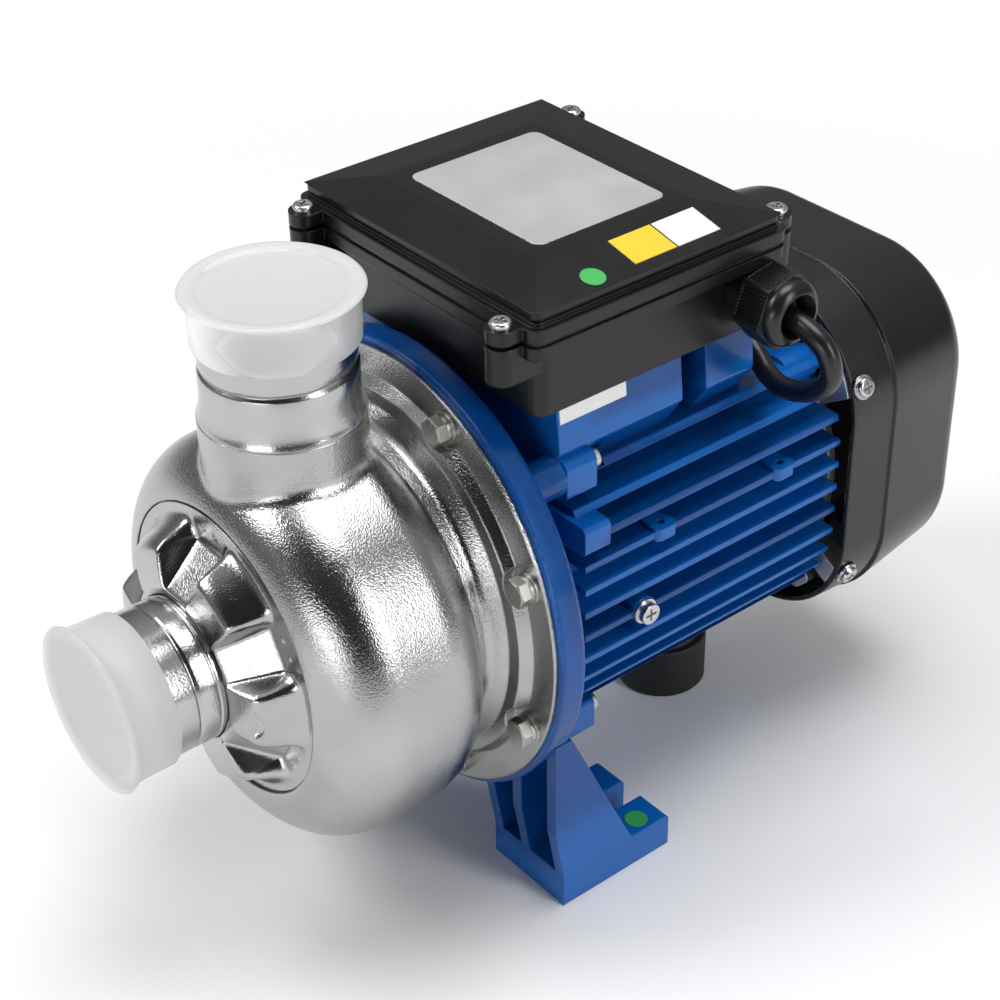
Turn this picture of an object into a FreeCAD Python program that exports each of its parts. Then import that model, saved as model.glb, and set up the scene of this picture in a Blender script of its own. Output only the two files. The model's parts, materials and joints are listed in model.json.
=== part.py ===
import FreeCAD, Part
import math
import os
import Sketcher
from FreeCAD import Vector

# Centrifugal pump: Z is up, the shaft lies along Y, and the suction side faces -Y.
# Lengths in millimetres, angles in degrees.

SIZES = {
    # Whole machine
    "shaft_height": 123,
    "running_gap": 0.05,
    "seat_gap": 0.2,
    # Casing
    "casing_wall": 2,
    "flange_radius": 90,
    "flange_sheet": 2,
    "flange_step_radius": 77,
    "flange_step_rise": 4.5,
    "crease_radius": 66,
    "crease_depth": 12,
    "volute_drop": 4.8,
    "volute_radius": 80,
    "volute_back": 15,
    "volute_front": 83.5,
    "volute_back_round": 22,
    "volute_front_round": 27,
    "casing_bolts": 8,
    "casing_bolt_edge": 7.5,
    "casing_scallop": 8.6,
    # Suction plate
    "plate_radius": 56.6,
    "plate_seat_depth": 3,
    "plate_sheet": 1.6,
    "plate_top": 99.5,
    "plate_top_radius": 41,
    "plate_foot_radius": 55.2,
    "valley_count": 6,
    "valley_root_radius": 31.5,
    "valley_root_half": 6.5,
    "valley_mouth_half": 15.5,
    "pad_inner_radius": 44.5,
    "pad_outer_radius": 54.2,
    "pad_inner_half": 8,
    "pad_outer_half": 11.5,
    # Nozzles
    "nozzle_radius": 27.6,
    "thread_radius": 22.6,
    "thread_depth": 20,
    "suction_end": 132.9,
    "suction_eye_radius": 21,
    "discharge_setback": 48.6,
    "discharge_top": 131.7,
    "neck_radius": 29.8,
    "neck_top": 88,
    "neck_flare": 6,
    "bead_rise": 0.8,
    "bead_width": 2.4,
    "bead_place": 107,
    "groove_place": 110.5,
    "groove_depth": 0.7,
    "discharge_groove_place": 108.5,
    # Transport caps
    "cap_rim_radius": 31.9,
    "cap_skirt_radius": 29.4,
    "cap_wall": 1.2,
    "cap_rim_sheet": 1.5,
    "cap_dish_depth": 3,
    "cap_skirt_length": 19.5,
    # Blue adapter bracket
    "adapter_radius": 92.6,
    "adapter_flange": 11.4,
    "adapter_hub_radius": 66,
    "adapter_length": 26,
    "lantern_radius": 24,
    "boss_circle": 80,
    "boss_radius": 8,
    # Legs
    "leg_inner": 41.8,
    "leg_outer": 83.4,
    "leg_front": 8,
    "leg_depth": 63,
    "leg_base": 15,
    "leg_slope_low": 43,
    "leg_slope_high": 12,
    "leg_top": 82,
    "leg_rib": 5,
    "leg_pocket_depth": 16,
    "leg_pocket_split": 60.5,
    "leg_slot_width": 11,
    "leg_slot_place": 62.3,
    "leg_slot_start": 44,
    # Motor frame
    "frame_length": 135.5,
    "frame_core_radius": 60,
    "frame_bore_radius": 53,
    "frame_half": 71,
    "frame_round": 55,
    "fin_pitch": 10.5,
    "fin_sheet": 2.6,
    "fin_rows": 11,
    "pad_half": 60,
    "pad_height": 87,
    "pad_low": 66,
    "pad_first_length": 59,
    "pad_gap": 12,
    "pad_second_length": 24,
    "frame_lug": 15,
    "frame_lug_length": 14,
    "fin_boss_first": 68,
    "fin_boss_second": 130,
    "earth_place": 58,
    # Rubber foot
    "foot_place": 136,
    "foot_radius": 19.5,
    "foot_height": 24,
    "foot_neck_radius": 14,
    "foot_neck_height": 20,
    "foot_bolt_radius": 3,
    # Rotating assembly
    "shaft_radius": 8.5,
    "shaft_nose_radius": 6,
    "shaft_nose": 72,
    "shaft_tail": 212,
    "rotor_radius": 29.6,
    "stator_bore_radius": 30,
    "stack_start": 55,
    "stack_length": 80,
    "end_ring_length": 10,
    "winding_length": 17,
    "front_bearing_radius": 20,
    "front_bearing_width": 12,
    "front_bearing_place": 12,
    "rear_bearing_radius": 17.5,
    "rear_bearing_width": 11,
    "rear_bearing_place": 166,
    "bearing_balls": 8,
    "ball_radius": 3.2,
    "track_half": 2.2,
    "track_depth": 0.7,
    "impeller_radius": 62,
    "impeller_back": 38,
    "impeller_width": 20,
    "impeller_sheet": 2,
    "impeller_blades": 6,
    "impeller_hub_radius": 11,
    "impeller_eye_radius": 22,
    "impeller_nut": 17,
    "key_width": 4,
    "seal_plate_sheet": 2,
    "seal_plate_radius": 71.5,
    "seal_seat_radius": 14,
    "seal_seat_width": 8,
    "seal_head_radius": 13,
    "seal_head_width": 8,
    "seal_spring_radius": 12,
    "seal_spring_wire": 1.2,
    "ring_cord": 1.75,
    # Rear shield, fan and fan cover
    "shield_sheet": 4,
    "shield_radius": 66,
    "fan_place": 192,
    "fan_radius": 62,
    "fan_width": 16,
    "fan_blades": 7,
    "fan_sheet": 2.2,
    "fan_hub_radius": 14,
    "cover_start": 164,
    "cover_step": 186,
    "cover_end": 235,
    "cover_half": 77,
    "cover_front_half": 75.5,
    "cover_rear_half": 71.5,
    "cover_round": 48,
    "cover_edge_round": 11,
    "cover_wall": 2,
    "grille_inner": 16,
    "grille_pitch": 8.5,
    "grille_slot": 4.5,
    "grille_rings": 5,
    "grille_bars": 8,
    "grille_bar": 4,
    "cover_screw_angle": 33,
    "cover_screw_place": 169,
    # Terminal box
    "box_half": 62.7,
    "box_front": 14,
    "box_rear": 124,
    "box_wall": 2.5,
    "box_round": 5,
    "box_rim_low": 114,
    "box_rim": 3.4,
    "lid_half": 66.5,
    "lid_front": 10,
    "lid_rear": 124.5,
    "lid_low": 120.5,
    "lid_edge": 131.6,
    "lid_top": 135.6,
    "lid_flat_half": 43.7,
    "lid_flat_front": 29.6,
    "lid_flat_rear": 101.8,
    "lid_wall": 2.5,
    "lid_groove": 1,
    "ear_radius": 5.7,
    "ear_place": 57,
    "ear_reach": 7,
    "ear_height": 9,
    "gasket_sheet": 1.6,
    # Gland and cable
    "gland_place": 113.4,
    "gland_height": 101.5,
    "gland_body_radius": 12,
    "gland_body_length": 6.4,
    "gland_nut_across": 26,
    "gland_nut_length": 13,
    "gland_dome_radius": 12.8,
    "gland_dome_length": 6,
    "gland_mouth_radius": 7.4,
    "cable_radius": 4.15,
    "coil_turn_radius": 47.5,
    "plug_radius": 19.5,
    # Labels
    "label_sheet": 0.3,
    "plate_half": 36.7,
    "plate_low_edge": 36,
    "plate_high_edge": 96.4,
    "lid_dot_side": 60.3,
    "lid_dot_rear": 40.4,
    "leg_dot_side": 14.7,
    "leg_dot_rear": 7.3,
    "dot_radius": 4.6,
}

doc = FreeCAD.newDocument("centrifugal_pump")
sheet = doc.addObject("Spreadsheet::Sheet", "d")
for row, (alias, number) in enumerate(SIZES.items(), 1):
    sheet.set("A%d" % row, alias)
    sheet.set("B%d" % row, str(number))
    sheet.setAlias("B%d" % row, alias)
doc.recompute()

exported = []


def size(alias):
    """Value of a driving size, read back from the spreadsheet."""
    return float(getattr(sheet, alias))


# Helpers for bodies, sketches and features


def origin(body, role):
    for feature in body.Origin.OriginFeatures:
        if feature.Role == role:
            return feature
    raise ValueError(role)


def new_body(name, place=("0", "0", "d.shaft_height"), label=True):
    """Body whose own origin lies on the shaft axis unless another place is given."""
    body = doc.addObject("PartDesign::Body", name)
    body.Label = name
    for axis, text in zip("xyz", place):
        body.setExpression("Placement.Base." + axis, text)
    if label:
        exported.append(body)
    return body


def new_sketch(body, plane, offset="0"):
    """Sketch on one of the body's origin planes, moved along the plane's normal."""
    sketch = body.newObject("Sketcher::SketchObject", body.Name + "_sketch")
    sketch.AttachmentSupport = (origin(body, plane), [""])
    sketch.MapMode = "FlatFace"
    sketch.setExpression("AttachmentOffset.Base.z", offset)
    return sketch


def bind(sketch, constraint, text):
    index = sketch.addConstraint(constraint)
    sketch.setExpression("Constraints[%d]" % index, text)


def pin(sketch, geometry, point, place):
    """Hold a sketch point at a place given by two expressions."""
    for kind, text in zip(("DistanceX", "DistanceY"), place):
        number = float(sketch.evalExpression(text))
        bind(sketch, Sketcher.Constraint(kind, -1, 1, geometry, point, number), text)


def add_circle(sketch, place, radius):
    x, y = [float(sketch.evalExpression(text)) for text in place]
    number = float(sketch.evalExpression(radius))
    circle = sketch.addGeometry(Part.Circle(Vector(x, y, 0), Vector(0, 0, 1), number))
    pin(sketch, circle, 3, place)
    bind(sketch, Sketcher.Constraint("Radius", circle, number), radius)


def add_outline(sketch, corners):
    """Closed outline. A corner is (x, y) or, where it is rounded, (x, y, radius)."""
    spots = []
    for corner in corners:
        spots.append(Vector(*[float(sketch.evalExpression(text)) for text in corner[:2]]))
    count = len(corners)
    starts, ends, rounds = {}, {}, {}
    for i, corner in enumerate(corners):
        spot = spots[i]
        if len(corner) == 2:
            starts[i], ends[i] = spot, spot
            continue
        radius = float(sketch.evalExpression(corner[2]))
        back = (spots[i - 1] - spot).normalize()
        ahead = (spots[(i + 1) % count] - spot).normalize()
        half = back.getAngle(ahead) / 2
        reach = radius / math.tan(half)
        centre = spot + (back + ahead).normalize() * (radius / math.sin(half))
        ends[i], starts[i] = spot + back * reach, spot + ahead * reach
        turns_left = back.cross(ahead).z < 0
        first, last = (ends[i], starts[i]) if turns_left else (starts[i], ends[i])
        angles = [math.atan2((p - centre).y, (p - centre).x) for p in (first, last)]
        circle = Part.Circle(centre, Vector(0, 0, 1), radius)
        rounds[i] = (sketch.addGeometry(Part.ArcOfCircle(circle, *angles)), turns_left, radius)
    lines = []
    for i in range(count):
        lines.append(sketch.addGeometry(Part.LineSegment(starts[i], ends[(i + 1) % count])))
    for i, corner in enumerate(corners):
        before, after = lines[i - 1], lines[i]
        if i not in rounds:
            sketch.addConstraint(Sketcher.Constraint("Coincident", before, 2, after, 1))
            pin(sketch, after, 1, corner)
            continue
        arc, turns_left, radius = rounds[i]
        first, last = (1, 2) if turns_left else (2, 1)
        sketch.addConstraint(Sketcher.Constraint("Tangent", before, 2, arc, first))
        sketch.addConstraint(Sketcher.Constraint("Tangent", after, 1, arc, last))
        bind(sketch, Sketcher.Constraint("Radius", arc, radius), corner[2])
        mark = sketch.addGeometry(Part.Point(spots[i]), True)
        pin(sketch, mark, 1, corner[:2])
        sketch.addConstraint(Sketcher.Constraint("PointOnObject", mark, 1, before))
        sketch.addConstraint(Sketcher.Constraint("PointOnObject", mark, 1, after))


def feature(body, kind, sketch, **settings):
    item = body.newObject("PartDesign::" + kind, body.Name + "_" + kind.lower())
    item.Profile = sketch
    for key, setting in settings.items():
        if isinstance(setting, str) and key not in ("Type",):
            item.setExpression(key, setting)
        else:
            setattr(item, key, setting)
    body.Tip = item
    return item


def pad(body, sketch, length, reverse=False, both=False):
    return feature(body, "Pad", sketch, Length=length, Reversed=reverse, Midplane=both)


def pocket(body, sketch, length, reverse=False, both=False):
    return feature(body, "Pocket", sketch, Length=length, Reversed=reverse, Midplane=both)


def revolve(body, sketch, axis="H_Axis"):
    return feature(body, "Revolution", sketch, ReferenceAxis=(sketch, [axis]), Angle=360.0)


def groove(body, sketch, axis="H_Axis"):
    return feature(body, "Groove", sketch, ReferenceAxis=(sketch, [axis]), Angle=360.0)


def polar(body, originals, count, axis="Y_Axis"):
    item = body.newObject("PartDesign::PolarPattern", body.Name + "_polar")
    item.Originals = originals
    item.Axis = (origin(body, axis), [""])
    item.Angle = 360
    item.setExpression("Occurrences", count)
    body.Tip = item
    return item


def row_of(body, originals, length, count, axis="Z_Axis"):
    item = body.newObject("PartDesign::LinearPattern", body.Name + "_row")
    item.Originals = originals
    item.Direction = (origin(body, axis), [""])
    item.setExpression("Length", length)
    item.setExpression("Occurrences", count)
    body.Tip = item
    return item


def mirror(body, originals, plane):
    item = body.newObject("PartDesign::Mirrored", body.Name + "_mirror")
    item.Originals = originals
    item.MirrorPlane = (origin(body, plane), [""])
    body.Tip = item
    return item


def turned(name, profile, label=True, place=("0", "0", "d.shaft_height")):
    """Body turned about the shaft axis. The profile is (y, radius) pairs of expressions."""
    body = new_body(name, place, label)
    sketch = new_sketch(body, "YZ_Plane")
    add_outline(sketch, profile)
    revolve(body, sketch)
    return body


def ring(name, start, end, inner, outer, label=True):
    """Plain ring round the shaft axis."""
    return turned(name, [(start, inner), (end, inner), (end, outer), (start, outer)], label)


def boolean(kind, name, items, label=True):
    """Part boolean of two objects, or a fusion of several."""
    item = doc.addObject("Part::" + kind, name)
    if kind in ("MultiFuse", "MultiCommon"):
        item.Shapes = items
    else:
        item.Base, item.Tool = items
    item.Label = name
    if label:
        exported.append(item)
    return item


def rounded(name, base, radius, test, label=False):
    """Fillet of the edges of base that pass a test."""
    doc.recompute()
    item = doc.addObject("Part::Fillet", name)
    item.Base = base
    number = float(base.evalExpression(radius))
    picked = [i for i, edge in enumerate(base.Shape.Edges, 1) if test(edge)]
    item.Edges = [(i, number, number) for i in picked]
    item.Label = name
    if label:
        exported.append(item)
    return item


def shaped(name, shape, height="d.shaft_height", exports=True):
    """Sub-part whose shape is made with Part's own functions, from an origin at a height."""
    item = doc.addObject("Part::Feature", name)
    item.Label = name
    item.Shape = shape
    item.setExpression("Placement.Base.z", height)
    if exports:
        exported.append(item)
    return item


# Casing: sheet shell with a stepped flange, an off-centre volute and a drawn neck


def casing_solid(tag, inset):
    """Filled form of the casing, drawn in from its outer face by inset."""
    back = "0" if inset == "0" else "1"
    flange = turned("flange_form" + tag, [
        (back, "0"),
        (back, "d.flange_radius - %s * 7.5" % inset),
        ("-d.flange_sheet + " + inset, "d.flange_radius - %s * 7.5" % inset),
        ("-d.flange_sheet + " + inset, "d.flange_step_radius + 1.5 - " + inset),
        ("-d.flange_sheet - d.flange_step_rise + " + inset, "d.flange_step_radius - 1 - " + inset),
        ("-d.flange_sheet - d.flange_step_rise - 0.5 + " + inset, "d.crease_radius + 5 - " + inset),
        ("-d.crease_depth + " + inset, "d.crease_radius - " + inset, "4"),
        ("-d.crease_depth - 15", "d.crease_radius - " + inset),
        ("-d.crease_depth - 15", "0"),
    ], False)
    volute = turned("volute_form" + tag, [
        ("-d.volute_back - " + inset, "0"),
        ("-d.volute_back - " + inset, "d.volute_radius - " + inset,
         "d.volute_back_round - " + inset),
        ("-d.volute_front + " + inset, "d.volute_radius - " + inset,
         "d.volute_front_round - " + inset),
        ("-d.volute_front + " + inset, "0"),
    ], False, ("0", "0", "d.shaft_height - d.volute_drop"))
    volute.Placement.Rotation = FreeCAD.Rotation(Vector(0, 1, 0), 180)
    neck = new_body("neck_form" + tag, ("0", "-d.discharge_setback", "d.shaft_height"), False)
    sketch = new_sketch(neck, "XZ_Plane")
    add_outline(sketch, [
        ("0", "d.volute_radius * 0.5"),
        ("d.neck_radius - " + inset, "d.volute_radius * 0.5"),
        ("d.neck_radius - " + inset, "d.neck_top"),
        ("0", "d.neck_top"),
    ])
    revolve(neck, sketch, "V_Axis")
    body_form = boolean("MultiFuse", "volute_and_neck" + tag, [volute, neck], False)
    blend = rounded("blended_form" + tag, body_form, "d.neck_flare + " + inset, is_neck_foot)
    scallops = new_body("scallops" + tag, label=False)
    sketch = new_sketch(scallops, "XZ_Plane", "d.flange_sheet - " + inset)
    turn = "180 / d.casing_bolts"
    spot = ("(d.flange_radius - d.casing_bolt_edge) * cos(%s)" % turn, "(d.flange_radius - d.casing_bolt_edge) * sin(%s)" % turn)
    add_circle(sketch, spot, "d.casing_scallop + " + inset)
    hole = pad(scallops, sketch, "d.crease_depth")
    polar(scallops, [hole], "d.casing_bolts")
    forms = boolean("MultiFuse", "casing_forms" + tag, [flange, blend], False)
    return boolean("Cut", "casing_form" + tag, [forms, scallops], False)


def is_neck_foot(edge):
    """True for the edges where the neck meets the volute."""
    low = size("shaft_height") + size("volute_radius") * 0.55
    high = size("shaft_height") + size("neck_top") - 2
    for spot in edge.discretize(7):
        reach = math.hypot(spot.x, spot.y + size("discharge_setback"))
        if not size("neck_radius") - size("casing_wall") - 0.1 < reach < size("neck_radius") + 0.1:
            return False
        if not low < spot.z < high:
            return False
    return edge.Length > 5


def casing():
    outer = casing_solid("_outer", "0")
    inner = casing_solid("_inner", "d.casing_wall")
    cutters = new_body("casing_cutters", label=False)
    sketch = new_sketch(cutters, "XZ_Plane", "d.volute_front - d.plate_seat_depth")
    add_circle(sketch, ("0", "0"), "d.plate_radius + 0.6")
    pad(cutters, sketch, "d.volute_front")
    sketch = new_sketch(cutters, "XZ_Plane", "d.volute_front - d.plate_seat_depth - 10")
    add_circle(sketch, ("0", "0"), "d.suction_eye_radius")
    pad(cutters, sketch, "12")
    holes = new_body("casing_holes", label=False)
    sketch = new_sketch(holes, "XZ_Plane", "-2")
    turn = "180 / d.casing_bolts"
    spot = ("(d.flange_radius - d.casing_bolt_edge) * cos(%s)" % turn, "(d.flange_radius - d.casing_bolt_edge) * sin(%s)" % turn)
    add_circle(sketch, spot, "3.3")
    hole = pad(holes, sketch, "10")
    polar(holes, [hole], "d.casing_bolts")
    shell = boolean("Cut", "casing_shell", [outer, inner], False)
    seat = turned("plate_seat", [
        ("-d.volute_front + d.plate_seat_depth", "d.suction_eye_radius"),
        ("-d.volute_front + d.plate_seat_depth", "d.plate_radius + 3"),
        ("-d.volute_front + d.plate_seat_depth + d.casing_wall", "d.plate_radius + 3"),
        ("-d.volute_front + d.plate_seat_depth + d.casing_wall", "d.suction_eye_radius"),
    ], False)
    open_shell = boolean("Cut", "open_shell", [shell, cutters], False)
    closed = boolean("MultiFuse", "seated_shell", [open_shell, seat], False)
    return boolean("Cut", "pump_casing", [closed, holes])


# Suction plate: pressed star of six valleys, spot welded to the casing at their flat pads


def plate_form(tag, inset):
    """Filled form of the plate, with its valleys, drawn in from its front by inset."""
    body = new_body("plate_form" + tag, label=False)
    sketch = new_sketch(body, "YZ_Plane")
    seat = "-d.volute_front + d.plate_seat_depth"
    add_outline(sketch, [
        (seat + " + " + inset, "0"),
        (seat + " + " + inset, "d.plate_radius - " + inset),
        (seat + " - d.plate_sheet + " + inset, "d.plate_radius - " + inset),
        (seat + " - d.plate_sheet + " + inset, "d.plate_foot_radius - " + inset, "0.4"),
        ("-d.plate_top + " + inset, "d.plate_top_radius - " + inset, "5"),
        ("-d.plate_top + " + inset, "0"),
    ])
    revolve(body, sketch)
    mouth = new_sketch(body, "XZ_Plane", "d.plate_top + 1.5")
    add_outline(mouth, [
        ("-d.valley_root_half - " + inset, "d.valley_root_radius - 1 - " + inset),
        ("d.valley_root_half + " + inset, "d.valley_root_radius - 1 - " + inset),
        ("d.valley_mouth_half + " + inset, "d.plate_foot_radius - 1 + " + inset),
        ("-d.valley_mouth_half - " + inset, "d.plate_foot_radius - 1 + " + inset),
    ])
    floor = new_sketch(body, "XZ_Plane", "d.volute_front - d.plate_seat_depth + d.plate_sheet + 0.2 - " + inset)
    add_outline(floor, [
        ("-d.pad_inner_half - " + inset, "d.pad_inner_radius - " + inset),
        ("d.pad_inner_half + " + inset, "d.pad_inner_radius - " + inset),
        ("d.pad_outer_half + " + inset, "d.pad_outer_radius + " + inset),
        ("-d.pad_outer_half - " + inset, "d.pad_outer_radius + " + inset),
    ])
    valley = feature(body, "SubtractiveLoft", mouth, Sections=[floor], Ruled=True)
    polar(body, [valley], "d.valley_count")
    return body


def suction_plate():
    outer = plate_form("_outer", "0")
    inner = plate_form("_inner", "d.plate_sheet")
    shell = boolean("Cut", "plate_shell", [outer, inner], False)
    bore = ring("plate_bore", "-d.plate_top - 5", "0", "0", "d.nozzle_radius + d.running_gap", False)
    dimples = new_body("weld_dimples", label=False)
    sketch = new_sketch(dimples, "XZ_Plane", "d.volute_front - d.plate_seat_depth + d.plate_sheet - 0.6")
    add_circle(sketch, ("3.6", "(d.pad_inner_radius + d.pad_outer_radius) / 2 + 1.5"), "1.3")
    add_circle(sketch, ("-3.6", "(d.pad_inner_radius + d.pad_outer_radius) / 2 + 1.5"), "1.3")
    spots = pad(dimples, sketch, "3")
    polar(dimples, [spots], "d.valley_count")
    open_shell = boolean("Cut", "plate_open", [shell, bore], False)
    boolean("Cut", "suction_plate", [open_shell, dimples])


# Nozzles: turned sleeves with a female thread, a bead and a groove


def nozzle(name, place, axis, foot, end, bead, hollow):
    """Sleeve along an axis of its own body, from its foot to its mouth."""
    body = new_body(name, place)
    sketch = new_sketch(body, "XZ_Plane" if axis == "V_Axis" else "YZ_Plane")
    sign = "" if axis == "V_Axis" else "-"
    profile = [
        (hollow, foot),
        ("d.nozzle_radius", foot),
        ("d.nozzle_radius", bead + " - d.bead_width"),
        ("d.nozzle_radius + d.bead_rise", bead + " - d.bead_width * 0.6"),
        ("d.nozzle_radius + d.bead_rise", bead + " - d.bead_width * 0.2"),
        ("d.nozzle_radius", bead),
        ("d.nozzle_radius", bead + " + 1"),
        ("d.nozzle_radius - d.groove_depth", bead + " + 1.6"),
        ("d.nozzle_radius - d.groove_depth", bead + " + 2.4"),
        ("d.nozzle_radius", bead + " + 3"),
        ("d.nozzle_radius", end + " - 1"),
        ("d.nozzle_radius - 1", end),
        ("d.thread_radius + 1.5", end),
        ("d.thread_radius", end + " - 1.5"),
        ("d.thread_radius", end + " - d.thread_depth"),
        (hollow, end + " - d.thread_depth"),
    ]
    if axis == "H_Axis":
        profile = [(sign + "(" + along + ")", reach) for reach, along in profile]
    add_outline(sketch, profile)
    revolve(body, sketch, axis)


def nozzles():
    nozzle("suction_nozzle", ("0", "0", "d.shaft_height"), "H_Axis", "d.volute_front - d.plate_seat_depth",
           "d.suction_end", "d.bead_place", "d.suction_eye_radius")
    nozzle("discharge_nozzle", ("0", "-d.discharge_setback", "d.shaft_height"), "V_Axis", "d.neck_top - 5",
           "d.discharge_top", "d.discharge_groove_place - 2", "d.suction_eye_radius")


def transport_cap(name, place, axis, end):
    """Thin cap pushed over a nozzle: rim, dished top and skirt."""
    body = new_body(name, place)
    sketch = new_sketch(body, "XZ_Plane" if axis == "V_Axis" else "YZ_Plane")
    top = end + " + d.cap_dish_depth + d.cap_wall + d.seat_gap"
    profile = [
        ("0", top + " - d.cap_dish_depth"),
        ("d.nozzle_radius - 2.4", top + " - d.cap_dish_depth", "2"),
        ("d.nozzle_radius - 0.8", top),
        ("d.cap_rim_radius", top, "0.5"),
        ("d.cap_rim_radius", top + " - d.cap_rim_sheet", "0.5"),
        ("d.cap_skirt_radius + 0.4", top + " - d.cap_rim_sheet"),
        ("d.cap_skirt_radius", top + " - d.cap_skirt_length"),
        ("d.nozzle_radius + d.seat_gap", top + " - d.cap_skirt_length"),
        ("d.nozzle_radius + d.seat_gap", top + " - d.cap_dish_depth - d.cap_wall"),
        ("0", top + " - d.cap_dish_depth - d.cap_wall"),
    ]
    if axis == "H_Axis":
        profile = [("-(" + corner[1] + ")", corner[0]) + corner[2:] for corner in profile]
    add_outline(sketch, profile)
    revolve(body, sketch, axis)


def transport_caps():
    transport_cap("suction_cap", ("0", "0", "d.shaft_height"), "H_Axis", "d.suction_end")
    transport_cap("discharge_cap", ("0", "-d.discharge_setback", "d.shaft_height"), "V_Axis", "d.discharge_top")


# Hex bolts with washers round the casing flange


def bolt_spot():
    turn = "180 / d.casing_bolts"
    return ("(d.flange_radius - d.casing_bolt_edge) * cos(%s)" % turn, "(d.flange_radius - d.casing_bolt_edge) * sin(%s)" % turn)


def flange_hardware():
    washers = new_body("casing_flat_washers")
    sketch = new_sketch(washers, "XZ_Plane", "d.flange_sheet")
    add_circle(sketch, bolt_spot(), "6")
    add_circle(sketch, bolt_spot(), "3.2")
    polar(washers, [pad(washers, sketch, "1.2")], "d.casing_bolts")
    springs = new_body("casing_spring_washers")
    sketch = new_sketch(springs, "XZ_Plane", "d.flange_sheet + 1.2")
    add_circle(sketch, bolt_spot(), "5.3")
    add_circle(sketch, bolt_spot(), "3.2")
    polar(springs, [pad(springs, sketch, "1.6")], "d.casing_bolts")
    bolts = new_body("casing_bolts_set")
    bolts.Label = "casing_bolts"
    sketch = new_sketch(bolts, "XZ_Plane", "d.flange_sheet + 2.8")
    x, z = bolt_spot()
    corners = []
    for i in range(6):
        corners.append((x + " + 5.77 * cos(%d)" % (60 * i), z + " + 5.77 * sin(%d)" % (60 * i)))
    add_outline(sketch, corners)
    head = pad(bolts, sketch, "4")
    sketch = new_sketch(bolts, "XZ_Plane", "d.flange_sheet + 2.8")
    add_circle(sketch, bolt_spot(), "3")
    shank = pad(bolts, sketch, "d.flange_sheet + 2.8 + d.adapter_flange - 1", True)
    sketch = new_sketch(bolts, "XZ_Plane", "d.flange_sheet + 6.8")
    add_circle(sketch, bolt_spot(), "4.6")
    crown = pad(bolts, sketch, "0.3")
    polar(bolts, [head, shank, crown], "d.casing_bolts")


# Blue adapter bracket: flange, hub and lantern round the shaft, bosses and two legs


def leg(side):
    """One leg: a wedge with a ribbed front and a slotted foot."""
    sign = "" if side > 0 else "-"
    body = new_body("leg_form_%s" % ("right" if side > 0 else "left"), ("0", "0", "0"), False)
    middle = "(d.leg_inner + d.leg_outer) / 2"
    sketch = new_sketch(body, "YZ_Plane", sign + middle)
    add_outline(sketch, [
        ("d.leg_front", "0"),
        ("d.leg_depth", "0"),
        ("d.leg_depth", "d.leg_base", "2"),
        ("d.leg_slope_low", "d.leg_base", "3"),
        ("d.leg_slope_high", "d.leg_top"),
        ("d.leg_front - 4", "d.leg_top"),
        ("d.leg_front - 4", "d.leg_base * 2.6"),
        ("d.leg_front", "d.leg_base"),
    ])
    pad(body, sketch, "d.leg_outer - d.leg_inner", both=True)
    for low, high in (("d.leg_inner + d.leg_rib", "d.leg_pocket_split - d.leg_rib / 2"),
                      ("d.leg_pocket_split + d.leg_rib / 2", "d.leg_outer - d.leg_rib")):
        sketch = new_sketch(body, "XZ_Plane", "0")
        add_outline(sketch, [
            (sign + "(" + low + ")", "d.leg_base"),
            (sign + "(" + high + ")", "d.leg_base"),
            (sign + "(" + high + ")", "d.leg_top - 8"),
            (sign + "(" + low + ")", "d.leg_top - 8"),
        ])
        pocket(body, sketch, "d.leg_front + d.leg_pocket_depth", False)
    sketch = new_sketch(body, "YZ_Plane", sign + middle)
    add_outline(sketch, [
        ("d.leg_front + d.leg_pocket_depth + 5", "d.leg_base"),
        ("d.leg_depth", "d.leg_base"),
        ("d.leg_depth", "d.leg_top"),
        ("d.leg_front + d.leg_pocket_depth + 5", "d.leg_top"),
    ])
    pocket(body, sketch, "d.leg_outer - d.leg_inner - 2 * d.leg_rib", both=True)
    sketch = new_sketch(body, "XY_Plane", "-1")
    half = "d.leg_slot_width / 2"
    centre = sign + "d.leg_slot_place"
    add_outline(sketch, [
        (centre + " - " + half, "d.leg_slot_start", half + " * 0.96"),
        (centre + " + " + half, "d.leg_slot_start", half + " * 0.96"),
        (centre + " + " + half, "d.leg_depth + 2"),
        (centre + " - " + half, "d.leg_depth + 2"),
    ])
    pocket(body, sketch, "d.leg_base + 4", True)
    return body


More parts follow.
